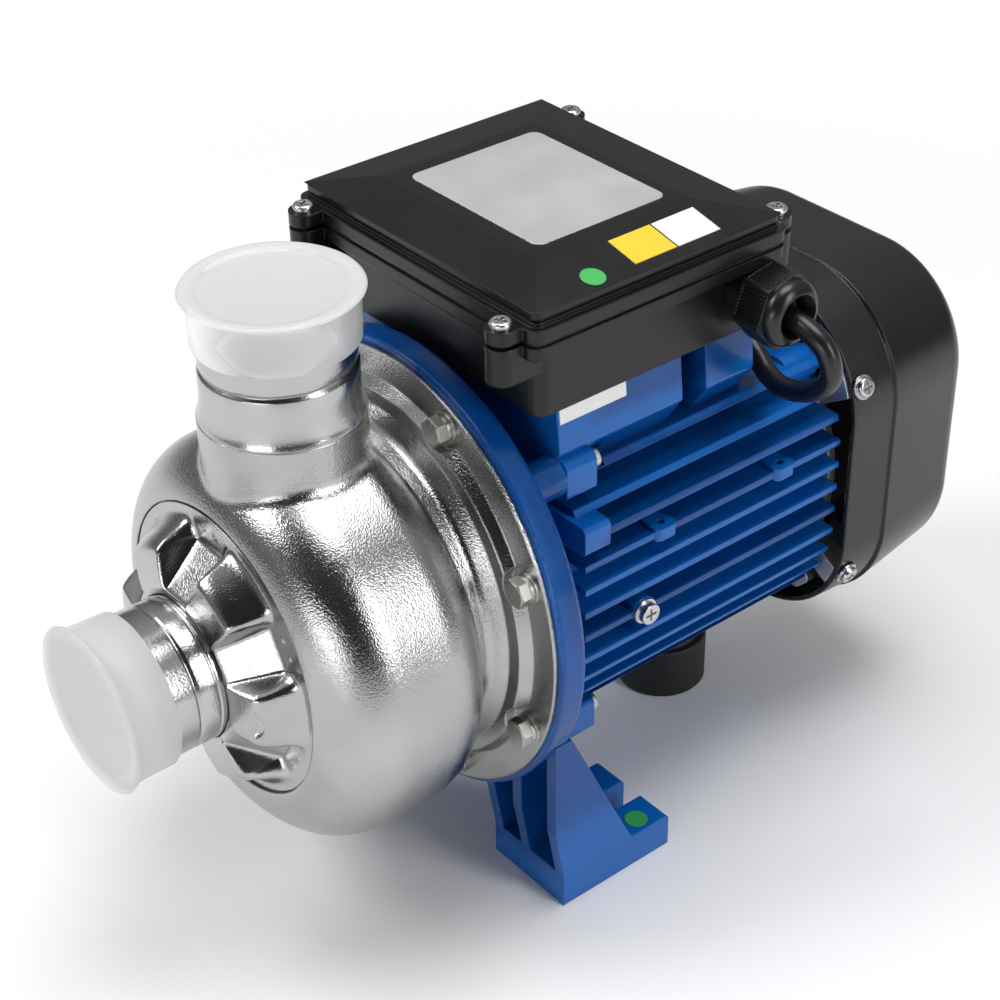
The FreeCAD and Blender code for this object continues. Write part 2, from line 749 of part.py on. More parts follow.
def adapter_bracket():
    flange = turned("adapter_form", [
        ("0", "d.lantern_radius"),
        ("0", "d.adapter_radius", "1.2"),
        ("d.adapter_flange", "d.adapter_radius", "2.5"),
        ("d.adapter_flange", "d.adapter_hub_radius + 4", "3"),
        ("d.adapter_length", "d.adapter_hub_radius"),
        ("d.adapter_length", "d.front_bearing_radius + d.running_gap"),
        ("d.front_bearing_place", "d.front_bearing_radius + d.running_gap"),
        ("d.front_bearing_place", "d.shaft_radius + 4"),
        ("d.front_bearing_place - 4", "d.shaft_radius + 4"),
        ("d.front_bearing_place - 4", "d.lantern_radius"),
    ], False)
    bosses = new_body("adapter_bosses", label=False)
    sketch = new_sketch(bosses, "XZ_Plane", "-d.adapter_flange + 1")
    add_circle(sketch, ("d.boss_circle * cos(45)", "d.boss_circle * sin(45)"), "d.boss_radius")
    boss = pad(bosses, sketch, "d.adapter_length - d.adapter_flange + 1", True)
    polar(bosses, [boss], "4")
    legs = [leg(1), leg(-1)]
    solid = boolean("MultiFuse", "bracket_solid", [flange, bosses] + legs, False)
    holes = new_body("bracket_holes", label=False)
    sketch = new_sketch(holes, "XZ_Plane", "1")
    add_circle(sketch, bolt_spot(), "3 + d.running_gap")
    hole = pad(holes, sketch, "d.adapter_flange + 1", True)
    polar(holes, [hole], "d.casing_bolts")
    sketch = new_sketch(holes, "XZ_Plane", "-d.adapter_length + 12")
    add_circle(sketch, ("d.boss_circle * cos(45)", "d.boss_circle * sin(45)"), "2.5 + d.running_gap")
    hole = pad(holes, sketch, "13", True)
    polar(holes, [hole], "4")
    boolean("Cut", "adapter_bracket", [solid, holes])


# Motor frame: core tube, level fins cut to a rounded square, box pads, lugs and bosses


def rounded_square(sketch, half, radius, lift="0"):
    add_outline(sketch, [
        ("-(" + half + ")", lift + " - (" + half + ")", radius),
        (half, lift + " - (" + half + ")", radius),
        (half, lift + " + " + half, radius),
        ("-(" + half + ")", lift + " + " + half, radius),
    ])


def motor_frame():
    start = "-d.adapter_length"
    core = new_body("frame_core", label=False)
    sketch = new_sketch(core, "XZ_Plane", start)
    add_circle(sketch, ("0", "0"), "d.frame_core_radius")
    pad(core, sketch, "d.frame_length", True)
    fins = new_body("frame_fins", label=False)
    sketch = new_sketch(fins, "XZ_Plane", start + " - 3")
    reach = "(d.fin_rows - 1) / 2 * d.fin_pitch"
    add_outline(sketch, [
        ("-d.frame_half * 1.2", "-%s - d.fin_sheet / 2" % reach),
        ("d.frame_half * 1.2", "-%s - d.fin_sheet / 2" % reach),
        ("d.frame_half * 1.2", "-%s + d.fin_sheet / 2" % reach),
        ("-d.frame_half * 1.2", "-%s + d.fin_sheet / 2" % reach),
    ])
    blade = pad(fins, sketch, "d.frame_length - 3", True)
    row_of(fins, [blade], "2 * " + reach, "d.fin_rows")
    envelope = new_body("frame_envelope", label=False)
    sketch = new_sketch(envelope, "XZ_Plane", start)
    rounded_square(sketch, "d.frame_half", "d.frame_round")
    pad(envelope, sketch, "d.frame_length", True)
    clipped = boolean("MultiCommon", "clipped_fins", [fins, envelope], False)
    pads = new_body("frame_pads", label=False)
    sketch = new_sketch(pads, "XZ_Plane", start)
    outline = [
        ("-d.pad_half", "d.pad_low", "3"),
        ("-d.frame_core_radius * 0.7", "d.pad_low * 0.6"),
        ("d.frame_core_radius * 0.7", "d.pad_low * 0.6"),
        ("d.pad_half", "d.pad_low", "3"),
        ("d.pad_half - 2", "d.pad_height"),
        ("-d.pad_half + 2", "d.pad_height"),
    ]
    add_outline(sketch, outline)
    pad(pads, sketch, "d.pad_first_length", True)
    sketch = new_sketch(pads, "XZ_Plane", start + " - d.pad_first_length - d.pad_gap")
    add_outline(sketch, outline)
    pad(pads, sketch, "d.pad_second_length", True)
    details = new_body("frame_details", label=False)
    sketch = new_sketch(details, "XZ_Plane", start)
    spot = "d.boss_circle * cos(45)"
    half = "d.frame_lug / 2"
    add_outline(sketch, [
        (spot + " - 14", spot + " - 14"),
        (spot + " + " + half, spot + " - " + half, "2"),
        (spot + " + " + half, spot + " + " + half, "4"),
        (spot + " - " + half, spot + " + " + half, "2"),
    ])
    lug = pad(details, sketch, "d.frame_lug_length", True)
    polar(details, [lug], "4")
    sketch = new_sketch(details, "XZ_Plane", start)
    add_outline(sketch, [
        ("d.frame_core_radius - 5", "d.fin_pitch * 3 - 2"),
        ("d.frame_half + 3", "d.fin_pitch * 3 - 2", "2"),
        ("d.frame_half + 3", "d.fin_pitch * 4 - 1", "2"),
        ("d.frame_core_radius - 12", "d.fin_pitch * 4 - 1"),
    ])
    block = pad(details, sketch, "d.frame_lug_length - 2", True)
    sketch = new_sketch(details, "XZ_Plane", start)
    add_outline(sketch, [
        ("-d.frame_core_radius + 5", "d.fin_pitch * 3 - 2"),
        ("-d.frame_half - 3", "d.fin_pitch * 3 - 2", "2"),
        ("-d.frame_half - 3", "d.fin_pitch * 4 - 1", "2"),
        ("-d.frame_core_radius + 12", "d.fin_pitch * 4 - 1"),
    ])
    pad(details, sketch, "d.frame_lug_length - 2", True)
    for place in ("d.fin_boss_first", "d.fin_boss_second"):
        sketch = new_sketch(details, "XY_Plane", "2 * d.fin_pitch - 2.6")
        add_outline(sketch, [
            ("d.frame_core_radius - 4", place + " - 3"),
            ("d.frame_half + 1.5", place + " - 6", "3"),
            ("d.frame_half + 1.5", place + " + 6", "3"),
            ("d.frame_core_radius - 4", place + " + 3"),
        ])
        pad(details, sketch, "5.2")
    sketch = new_sketch(details, "YZ_Plane", "d.frame_core_radius - 6")
    add_circle(sketch, ("d.earth_place", "-d.fin_pitch"), "5.5")
    pad(details, sketch, "d.frame_half - d.frame_core_radius + 6.2")
    sketch = new_sketch(details, "XY_Plane", "-d.frame_half + 1")
    add_circle(sketch, ("0", "d.foot_place"), "d.foot_neck_radius + 3")
    pad(details, sketch, "d.frame_half - d.frame_core_radius + 6")
    sketch = new_sketch(details, "XZ_Plane", start + " - d.frame_length")
    add_circle(sketch, shield_spot(), "7")
    lug = pad(details, sketch, "16")
    polar(details, [lug], "4")
    solid = boolean("MultiFuse", "frame_solid", [core, clipped, pads, details], False)
    cuts = new_body("frame_cuts", label=False)
    sketch = new_sketch(cuts, "XZ_Plane", start + " + 1")
    add_circle(sketch, ("0", "0"), "d.frame_bore_radius")
    pad(cuts, sketch, "d.frame_length + 2", True)
    sketch = new_sketch(cuts, "XZ_Plane", start + " + 1")
    add_circle(sketch, ("d.boss_circle * cos(45)", "d.boss_circle * sin(45)"), "2.5 + d.running_gap")
    hole = pad(cuts, sketch, "d.frame_lug_length + 4", True)
    polar(cuts, [hole], "4")
    sketch = new_sketch(cuts, "XZ_Plane", start + " - d.frame_lug_length")
    add_circle(sketch, ("d.boss_circle * cos(45)", "d.boss_circle * sin(45)"), "5.2")
    hole = pad(cuts, sketch, "9", True)
    polar(cuts, [hole], "4")
    sketch = new_sketch(cuts, "XZ_Plane", start + " - d.frame_length - 1")
    add_circle(sketch, shield_spot(), "2.5 + d.running_gap")
    hole = pad(cuts, sketch, "14")
    polar(cuts, [hole], "4")
    for place in ("d.fin_boss_first", "d.fin_boss_second"):
        sketch = new_sketch(cuts, "XY_Plane", "2 * d.fin_pitch - 4")
        add_circle(sketch, ("d.frame_half - 3", place), "1.6")
        pad(cuts, sketch, "8")
    sketch = new_sketch(cuts, "YZ_Plane", "d.frame_half - 10")
    add_circle(sketch, ("d.earth_place", "-d.fin_pitch"), "2.5 + d.running_gap")
    pad(cuts, sketch, "12")
    sketch = new_sketch(cuts, "XY_Plane", "-d.frame_half")
    add_circle(sketch, ("0", "d.foot_place"), "d.foot_bolt_radius + d.running_gap")
    pad(cuts, sketch, "8")
    boolean("Cut", "motor_frame", [solid, cuts])


def frame_screws():
    body = new_body("frame_screws")
    for radius, start, length in (("4.2", "-d.adapter_length - d.frame_lug_length", "5"),
                                  ("2.5", "-d.adapter_length + 10", "d.frame_lug_length + 10")):
        sketch = new_sketch(body, "XZ_Plane", start)
        add_circle(sketch, ("d.boss_circle * cos(45)", "d.boss_circle * sin(45)"), radius)
        polar(body, [pad(body, sketch, length, True)], "4")


# Rubber foot under the motor


def rubber_foot():
    body = new_body("rubber_foot", ("0", "d.foot_place", "0"))
    sketch = new_sketch(body, "XZ_Plane")
    add_outline(sketch, [
        ("d.foot_bolt_radius + 5", "0"),
        ("d.foot_radius - 0.6", "0"),
        ("d.foot_radius", "0.8"),
        ("d.foot_radius", "d.foot_height", "1.2"),
        ("d.foot_neck_radius + 2", "d.foot_height", "1"),
        ("d.foot_neck_radius", "d.shaft_height - d.frame_half + 0.7"),
        ("d.foot_bolt_radius + d.running_gap", "d.shaft_height - d.frame_half + 0.7"),
        ("d.foot_bolt_radius + d.running_gap", "10"),
        ("d.foot_bolt_radius + 5", "10"),
    ])
    revolve(body, sketch, "V_Axis")
    bolt = new_body("foot_bolt", ("0", "d.foot_place", "0"))
    sketch = new_sketch(bolt, "XY_Plane", "6")
    corners = [("5.77 * cos(%d)" % (60 * i), "5.77 * sin(%d)" % (60 * i)) for i in range(6)]
    add_outline(sketch, corners)
    pad(bolt, sketch, "4")
    sketch = new_sketch(bolt, "XY_Plane", "10")
    add_circle(sketch, ("0", "0"), "d.foot_bolt_radius")
    pad(bolt, sketch, "d.shaft_height - d.frame_half - 10 + 6")


# Rotating assembly


def shaft():
    plain = turned("shaft_form", [
        ("-d.shaft_nose", "0"),
        ("-d.shaft_nose", "d.shaft_nose_radius - 1"),
        ("-d.shaft_nose + 1", "d.shaft_nose_radius"),
        ("-d.impeller_back", "d.shaft_nose_radius"),
        ("-d.impeller_back", "d.shaft_radius - 1"),
        ("d.rear_bearing_place", "d.shaft_radius - 1"),
        ("d.rear_bearing_place", "d.shaft_radius - 1.5"),
        ("d.shaft_tail", "d.shaft_radius - 1.5"),
        ("d.shaft_tail", "0"),
    ], False)
    boolean("Cut", "motor_shaft", [plain, key_form("shaft_keyway", "d.running_gap", False)])
    core = ring("rotor_core", "d.stack_start", "d.stack_start + d.stack_length", "d.shaft_radius - 1",
                "d.rotor_radius")
    rings = new_body("rotor_end_rings")
    for start in ("-d.stack_start + d.end_ring_length", "-d.stack_start - d.stack_length"):
        sketch = new_sketch(rings, "XZ_Plane", start)
        add_circle(sketch, ("0", "0"), "d.rotor_radius - 1")
        add_circle(sketch, ("0", "0"), "d.rotor_radius - 10")
        pad(rings, sketch, "d.end_ring_length", True)
    return core


def stator():
    ring("stator_core", "d.stack_start", "d.stack_start + d.stack_length", "d.stator_bore_radius",
         "d.frame_bore_radius - d.running_gap")
    ends = (("winding_front", "d.stack_start - d.winding_length", "d.stack_start"),
            ("winding_rear", "d.stack_start + d.stack_length",
             "d.stack_start + d.stack_length + d.winding_length"))
    for name, start, end in ends:
        turned(name, [
            (start, "d.stator_bore_radius + 3", "3"),
            (end, "d.stator_bore_radius + 3"),
            (end, "d.frame_bore_radius - 6"),
            (start, "d.frame_bore_radius - 6", "3"),
        ])


def race_ring(name, place, width, wall, face, cut):
    """Bearing ring from its wall to its face, with a track for the balls cut into the face."""
    middle = "%s + %s / 2" % (place, width)
    turned(name, [
        (place, wall),
        (place, face),
        (middle + " - d.track_half", face),
        (middle + " - d.track_half * 0.64", "%s %s d.track_depth" % (face, cut)),
        (middle + " + d.track_half * 0.64", "%s %s d.track_depth" % (face, cut)),
        (middle + " + d.track_half", face),
        ("%s + %s" % (place, width), face),
        ("%s + %s" % (place, width), wall),
    ])


def bearing(name, place, width, outer, shaft_radius):
    """Outer and inner ring of a ball bearing. Returns its balls."""
    race = "((%s) + (%s)) / 2" % (outer, shaft_radius)
    race_ring(name + "_outer_ring", place, width, outer, race + " + d.ball_radius - 0.6", "+")
    race_ring(name + "_inner_ring", place, width, shaft_radius, race + " - d.ball_radius + 0.6", "-")
    reach = float(sheet.evalExpression(race))
    along = float(sheet.evalExpression("%s + %s / 2" % (place, width)))
    balls = []
    for i in range(int(size("bearing_balls"))):
        turn = math.radians(360 * i / size("bearing_balls"))
        spot = Vector(reach * math.cos(turn), along, reach * math.sin(turn))
        balls.append(Part.makeSphere(size("ball_radius"), spot))
    return balls


def bearings():
    front = bearing("front_bearing", "d.front_bearing_place", "d.front_bearing_width",
                    "d.front_bearing_radius", "d.shaft_radius - 1")
    rear = bearing("rear_bearing", "d.rear_bearing_place", "d.rear_bearing_width",
                   "d.rear_bearing_radius", "d.shaft_radius - 1.5")
    shaped("bearing_balls", Part.makeCompound(front + rear))
    ring("wave_washer", "d.rear_bearing_place + d.rear_bearing_width",
         "d.rear_bearing_place + d.rear_bearing_width + 0.8", "d.rear_bearing_radius - 3.5",
         "d.rear_bearing_radius - 0.5")


def impeller():
    """Closed impeller: back disc, shroud with an eye, hub and curved blades between them."""
    front = "-d.impeller_back - d.impeller_width"
    discs = turned("impeller_discs", [
        ("-d.impeller_back", "d.shaft_nose_radius"),
        ("-d.impeller_back", "d.impeller_radius"),
        ("-d.impeller_back - d.impeller_sheet", "d.impeller_radius"),
        ("-d.impeller_back - d.impeller_sheet", "d.impeller_hub_radius + 3", "3"),
        ("-d.impeller_back - d.impeller_width + 2", "d.impeller_hub_radius"),
        ("-d.impeller_back - d.impeller_width + 2", "d.shaft_nose_radius"),
    ], False)
    shroud = turned("impeller_shroud", [
        ("-d.impeller_back - 8", "d.impeller_radius"),
        ("-d.impeller_back - 8 - d.impeller_sheet", "d.impeller_radius"),
        (front, "d.impeller_eye_radius + 4", "4"),
        (front + " - 8", "d.impeller_eye_radius + 2"),
        (front + " - 8", "d.impeller_eye_radius"),
        (front + " + d.impeller_sheet", "d.impeller_eye_radius", "4"),
    ], False)
    blades = new_body("impeller_blades_form", label=False)
    sketch = new_sketch(blades, "XZ_Plane", "d.impeller_back + d.impeller_sheet - 0.5")
    inner = Vector(size("impeller_eye_radius") - 2, 0, 0)
    outer = Vector((size("impeller_radius") - 1) * math.cos(math.radians(75)),
                   (size("impeller_radius") - 1) * math.sin(math.radians(75)), 0)
    middle = Vector(size("impeller_radius") * 0.62 * math.cos(math.radians(22)),
                    size("impeller_radius") * 0.62 * math.sin(math.radians(22)), 0)
    out = (outer - inner).normalize().cross(Vector(0, 0, 1)) * size("impeller_sheet")
    first = sketch.addGeometry(Part.Arc(inner, middle, outer))
    second = sketch.addGeometry(Part.Arc(inner + out, middle + out, outer + out))
    one = sketch.addGeometry(Part.LineSegment(inner, inner + out))
    two = sketch.addGeometry(Part.LineSegment(outer, outer + out))
    for index in (first, second, one, two):
        sketch.addConstraint(Sketcher.Constraint("Block", index))
    blade = pad(blades, sketch, "d.impeller_width - d.impeller_sheet + 0.5")
    polar(blades, [blade], "d.impeller_blades")
    space = turned("impeller_space", [
        ("-d.impeller_back", "d.impeller_hub_radius"),
        ("-d.impeller_back", "d.impeller_radius"),
        ("-d.impeller_back - 8 - d.impeller_sheet / 2", "d.impeller_radius"),
        (front + " + d.impeller_sheet / 2", "d.impeller_eye_radius + 4", "3"),
        (front + " + d.impeller_sheet / 2", "d.impeller_hub_radius"),
    ], False)
    trimmed = boolean("MultiCommon", "impeller_blades_trimmed", [blades, space], False)
    wheel = boolean("MultiFuse", "impeller_solid", [discs, shroud, trimmed], False)
    boolean("Cut", "impeller", [wheel, key_form("hub_keyway", "d.running_gap", False)])
    nut = new_body("impeller_nut")
    sketch = new_sketch(nut, "XZ_Plane", "d.impeller_back + d.impeller_width - 2")
    corners = [("d.impeller_nut / 1.732 * cos(%d)" % (60 * i), "d.impeller_nut / 1.732 * sin(%d)" % (60 * i))
               for i in range(6)]
    add_outline(sketch, corners)
    add_circle(sketch, ("0", "0"), "d.shaft_nose_radius + d.running_gap")
    pad(nut, sketch, "9")
    key_form("impeller_key", "0", True)


def key_form(name, gap, label):
    """Key between shaft and hub, grown by gap for the keyways."""
    key = new_body(name, label=label)
    sketch = new_sketch(key, "XZ_Plane", "d.impeller_back + 2 - " + gap)
    add_outline(sketch, [
        ("-d.key_width / 2 - " + gap, "d.shaft_nose_radius - 2 - " + gap),
        ("d.key_width / 2 + " + gap, "d.shaft_nose_radius - 2 - " + gap),
        ("d.key_width / 2 + " + gap, "d.shaft_nose_radius + 2 + " + gap),
        ("-d.key_width / 2 - " + gap, "d.shaft_nose_radius + 2 + " + gap),
    ])
    pad(key, sketch, "12 + 2 * " + gap)
    return key


def sealing():
    turned("seal_plate", [
        ("0", "d.seal_seat_radius"),
        ("0", "d.seal_plate_radius"),
        ("-d.seal_plate_sheet", "d.seal_plate_radius"),
        ("-d.seal_plate_sheet", "d.seal_seat_radius + 6", "2"),
        ("-d.seal_plate_sheet - 8", "d.seal_seat_radius + 3"),
        ("-d.seal_plate_sheet - 8", "d.seal_seat_radius"),
    ])
    shaped("casing_o_ring", Part.makeTorus(
        size("seal_plate_radius") - 4, size("ring_cord") - 0.1,
        Vector(0, -size("seal_plate_sheet") - size("ring_cord"), 0), Vector(0, 1, 0)))
    ring("seal_seat", "-d.seal_plate_sheet - d.seal_seat_width", "-d.seal_plate_sheet", "d.shaft_radius + 1.5",
         "d.seal_seat_radius")
    ring("seal_head", "-d.seal_plate_sheet - d.seal_seat_width - d.seal_head_width",
         "-d.seal_plate_sheet - d.seal_seat_width", "d.shaft_radius - 1", "d.seal_head_radius")
    start = size("seal_plate_sheet") + size("seal_seat_width") + size("seal_head_width")
    length = size("impeller_back") - start
    wire = size("seal_spring_wire")
    turns = 4
    helix = Part.makeHelix((length - 2 * wire) / turns, length - 2 * wire, size("seal_spring_radius") - wire)
    profile = Part.Wire(Part.makeCircle(wire * 0.8, Vector(size("seal_spring_radius") - wire, 0, 0),
                                        Vector(0, 1, 0)))
    coil = Part.Wire(helix).makePipeShell([profile], True, True)
    coil.rotate(Vector(), Vector(1, 0, 0), 90)
    coil.translate(Vector(0, -start - wire, 0))
    shaped("seal_spring", coil)


# Rear shield, fan and fan cover


def shield_spot():
    return ("d.boss_circle * 0.86 * cos(45)", "d.boss_circle * 0.86 * sin(45)")


def rear_shield():
    end = "d.adapter_length + d.frame_length"
    form = turned("shield_form", [
        (end, "d.rear_bearing_radius + 5"),
        (end + " - 8", "d.rear_bearing_radius + 5"),
        (end + " - 8", "d.rear_bearing_radius + d.running_gap"),
        ("d.rear_bearing_place + d.rear_bearing_width + 0.8", "d.rear_bearing_radius + d.running_gap"),
        ("d.rear_bearing_place + d.rear_bearing_width + 0.8", "d.shaft_radius + 2"),
        ("d.rear_bearing_place + d.rear_bearing_width + 4", "d.shaft_radius + 2"),
        ("d.rear_bearing_place + d.rear_bearing_width + 4", "d.rear_bearing_radius + 4", "2"),
        (end + " + d.shield_sheet", "d.rear_bearing_radius + 12", "4"),
        (end + " + d.shield_sheet", "d.shield_radius"),
        (end, "d.shield_radius"),
    ], False)
    spokes = new_body("shield_arms", label=False)
    sketch = new_sketch(spokes, "XZ_Plane", "-d.adapter_length - d.frame_length")
    add_outline(sketch, [
        ("44 * cos(45) - 4", "44 * sin(45) + 4"),
        ("44 * cos(45) + 4", "44 * sin(45) - 4"),
        ("d.boss_circle * cos(45) + 4", "d.boss_circle * sin(45) - 4", "3"),
        ("d.boss_circle * cos(45) - 4", "d.boss_circle * sin(45) + 4", "3"),
    ])
    polar(spokes, [pad(spokes, sketch, "d.shield_sheet", True)], "4")
    turns = new_body("shield_clips", label=False)
    sketch = new_sketch(turns, "XZ_Plane", "-d.adapter_length - d.frame_length - 0.01")
    angle = "d.cover_screw_angle"
    reach = "(d.cover_half + 7)"
    for across, up in ((1, 1), (1, -1), (-1, 1), (-1, -1)):
        x = "%d * %s * cos(%s)" % (across, reach, angle)
        z = "%d * %s * sin(%s)" % (up, reach, angle)
        near_x = "%d * d.shield_radius * 0.9 * cos(%s)" % (across, angle)
        near_z = "%d * d.shield_radius * 0.9 * sin(%s)" % (up, angle)
        side_x = "%d * 5 * sin(%s)" % (up, angle)
        side_z = "%d * 5 * cos(%s)" % (across, angle)
        corners = [
            (near_x + " + " + side_x, near_z + " - (" + side_z + ")"),
            (x + " + " + side_x, z + " - (" + side_z + ")"),
            (x + " - (" + side_x + ")", z + " + " + side_z),
            (near_x + " - (" + side_x + ")", near_z + " + " + side_z),
        ]
        add_outline(sketch, corners if across * up > 0 else corners[::-1])
    pad(turns, sketch, "11", True)
    cover_inside = cover_solid("_clip_limit", "(d.cover_wall + d.seat_gap)")
    clips = boolean("MultiCommon", "shield_clips_trimmed", [turns, cover_inside], False)
    holes = new_body("shield_holes", label=False)
    sketch = new_sketch(holes, "XZ_Plane", "-d.adapter_length - d.frame_length + 1")
    add_circle(sketch, shield_spot(), "2.5 + d.running_gap")
    polar(holes, [pad(holes, sketch, "d.shield_sheet + 2", True)], "4")
    solid = boolean("MultiFuse", "shield_solid", [form, spokes, clips], False)
    drilled = boolean("Cut", "drilled_shield", [solid, holes], False)
    boolean("Cut", "rear_shield", [drilled, cover_screw_holes("_shield")])
    screws = new_body("shield_screws")
    end = "-d.adapter_length - d.frame_length"
    for radius, start, length in (("4", end + " - d.shield_sheet", "4"),
                                  ("2.5", end + " + 12", "14 + d.shield_sheet")):
        sketch = new_sketch(screws, "XZ_Plane", start)
        add_circle(sketch, shield_spot(), radius)
        polar(screws, [pad(screws, sketch, length, True)], "4")


def cooling_fan():
    hub = turned("fan_form", [
        ("d.fan_place", "d.shaft_radius - 1.5 + d.running_gap"),
        ("d.fan_place + d.fan_width", "d.shaft_radius - 1.5 + d.running_gap"),
        ("d.fan_place + d.fan_width", "d.fan_hub_radius", "2"),
        ("d.fan_place + d.fan_sheet", "d.fan_hub_radius", "3"),
        ("d.fan_place + d.fan_sheet", "d.fan_radius - 6"),
        ("d.fan_place", "d.fan_radius - 6"),
    ], False)
    blades = new_body("fan_blades_form", label=False)
    sketch = new_sketch(blades, "XZ_Plane", "-d.fan_place - 0.5")
    add_outline(sketch, [
        ("d.fan_hub_radius - 3", "-d.fan_sheet / 2"),
        ("d.fan_radius", "-d.fan_sheet / 2"),
        ("d.fan_radius", "d.fan_sheet / 2"),
        ("d.fan_hub_radius - 3", "d.fan_sheet / 2"),
    ])
    polar(blades, [pad(blades, sketch, "d.fan_width - 0.5", True)], "d.fan_blades")
    boolean("MultiFuse", "cooling_fan", [hub, blades])
    ring("fan_clip", "d.fan_place + d.fan_width", "d.fan_place + d.fan_width + 1.2", "d.shaft_radius - 1.5",
         "d.shaft_radius + 1.5")


def cover_solid(tag, inset):
    """Filled form of the fan cover, drawn in by inset."""
    body = new_body("cover_form" + tag, label=False)
    front = new_sketch(body, "XZ_Plane", "-d.cover_start + (%s == 0 ? 0 : 1)" % inset)
    rounded_square(front, "d.cover_front_half - " + inset, "d.cover_round - " + inset)
    collar = new_sketch(body, "XZ_Plane", "-d.cover_step")
    rounded_square(collar, "d.cover_half - 0.8 - " + inset, "d.cover_round - " + inset)
    feature(body, "AdditiveLoft", front, Sections=[collar], Ruled=True)
    step = new_sketch(body, "XZ_Plane", "-d.cover_step")
    rounded_square(step, "d.cover_half - " + inset, "d.cover_round - " + inset)
    rear = new_sketch(body, "XZ_Plane", "-d.cover_end + " + inset)
    rounded_square(rear, "d.cover_rear_half - " + inset, "d.cover_round - 3 - " + inset)
    loft = feature(body, "AdditiveLoft", step, Sections=[rear], Ruled=True)
    doc.recompute()
    names = []
    for i, edge in enumerate(loft.Shape.Edges, 1):
        end = size("cover_end") - float(body.evalExpression(inset))
        if all(abs(vertex.Point.y - end) < 0.01 for vertex in edge.Vertexes):
            names.append("Edge%d" % i)
    soft = body.newObject("PartDesign::Fillet", body.Name + "_fillet")
    soft.Base = (loft, names)
    soft.setExpression("Radius", "d.cover_edge_round - " + inset)
    body.Tip = soft
    return body


def cover_screw_axes():
    """Seat on the cover and outward direction of each radial screw."""
    tall = (size("cover_half") + 4) * math.sin(math.radians(size("cover_screw_angle")))
    part = (size("cover_screw_place") - size("cover_start")) / (size("cover_step") - size("cover_start"))
    half = size("cover_front_half") + part * (size("cover_half") - 0.8 - size("cover_front_half"))
    bend = size("cover_round")
    lean = math.asin((tall - (half - bend)) / bend)
    wall = half - bend + bend * math.cos(lean)
    axes = []
    for across in (1, -1):
        for up in (1, -1):
            out = Vector(across * math.cos(lean), 0, up * math.sin(lean))
            axes.append((Vector(across * wall, size("cover_screw_place"), up * tall), out))
    return axes


def cover_screw_holes(tag):
    holes = [Part.makeCylinder(2.2, 30, foot + out * 5, out * -1) for foot, out in cover_screw_axes()]
    return shaped("cover_screw_holes" + tag, Part.makeCompound(holes), exports=False)


def fan_cover():
    outer = cover_solid("_outer", "0")
    inner = cover_solid("_inner", "d.cover_wall")
    shell = boolean("Cut", "cover_shell", [outer, inner], False)
    cuts = new_body("cover_cuts", label=False)
    for i in range(int(size("grille_rings"))):
        sketch = new_sketch(cuts, "XZ_Plane", "-d.cover_end - 1")
        add_circle(sketch, ("0", "0"), "d.grille_inner + %d * d.grille_pitch + d.grille_slot" % i)
        add_circle(sketch, ("0", "0"), "d.grille_inner + %d * d.grille_pitch" % i)
        pad(cuts, sketch, "d.cover_wall + 2")
    bars = new_body("grille_bars_form", label=False)
    sketch = new_sketch(bars, "XZ_Plane", "-d.cover_end")
    add_outline(sketch, [
        ("0", "-d.grille_bar / 2"),
        ("d.cover_rear_half - 4", "-d.grille_bar / 2"),
        ("d.cover_rear_half - 4", "d.grille_bar / 2"),
        ("0", "d.grille_bar / 2"),
    ])
    polar(bars, [pad(bars, sketch, "d.cover_wall")], "d.grille_bars")
    slots = boolean("Cut", "grille_slots", [cuts, bars], False)
    slotted = boolean("Cut", "slotted_cover", [shell, slots], False)
    boolean("Cut", "fan_cover", [slotted, cover_screw_holes("_cover")])


def cover_screws():
    """Radial screws of the fan cover, each with its washer."""
    pieces = []
    for seat, out in cover_screw_axes():
        foot = seat + out * size("seat_gap")
        pieces.append(Part.makeCylinder(5, 1, foot, out).cut(Part.makeCylinder(2.2, 1, foot, out)))
        head = Part.makeCylinder(4, 2.4, foot + out, out)
        head = head.makeFillet(1.2, [edge for edge in head.Edges if is_far_rim(edge, foot, out)])
        for turn in (0, 90):
            slot = Part.makeBox(5, 1, 1.4, Vector(-2.5, -0.5, -0.7))
            slot.rotate(Vector(), Vector(0, 0, 1), turn)
            turned_out = FreeCAD.Rotation(Vector(0, 0, 1), out)
            slot.Placement = FreeCAD.Placement(foot + out * 3.2, turned_out).multiply(slot.Placement)
            head = head.cut(slot)
        pieces.append(head.fuse(Part.makeCylinder(2, 9, foot + out * 1.2, out * -1)))
    shaped("cover_screws", Part.makeCompound(pieces))


def is_far_rim(edge, foot, out):
    middle = edge.valueAt((edge.FirstParameter + edge.LastParameter) / 2)
    return (middle - foot).dot(out) > 3.3


# Terminal box, lid and what they hold


def box_form(body, low, high, half, front, rear, radius):
    """Upright block with rounded corners between two heights above the shaft axis."""
    sketch = new_sketch(body, "XY_Plane", low)
    add_outline(sketch, [
        ("-(" + half + ")", front, radius),
        (half, front, radius),
        (half, rear, radius),
        ("-(" + half + ")", rear, radius),
    ])
    return pad(body, sketch, high + " - (" + low + ")")


def ear_posts(body, low, high, radius):
    """Four round posts for the lid screws, at both ends of the box."""
    sketch = new_sketch(body, "XY_Plane", low)
    for across in ("", "-"):
        for place in ("d.lid_front - d.ear_reach", "d.lid_rear + d.ear_reach"):
            add_circle(sketch, (across + "d.ear_place", place), radius)
    return pad(body, sketch, high + " - (" + low + ")")


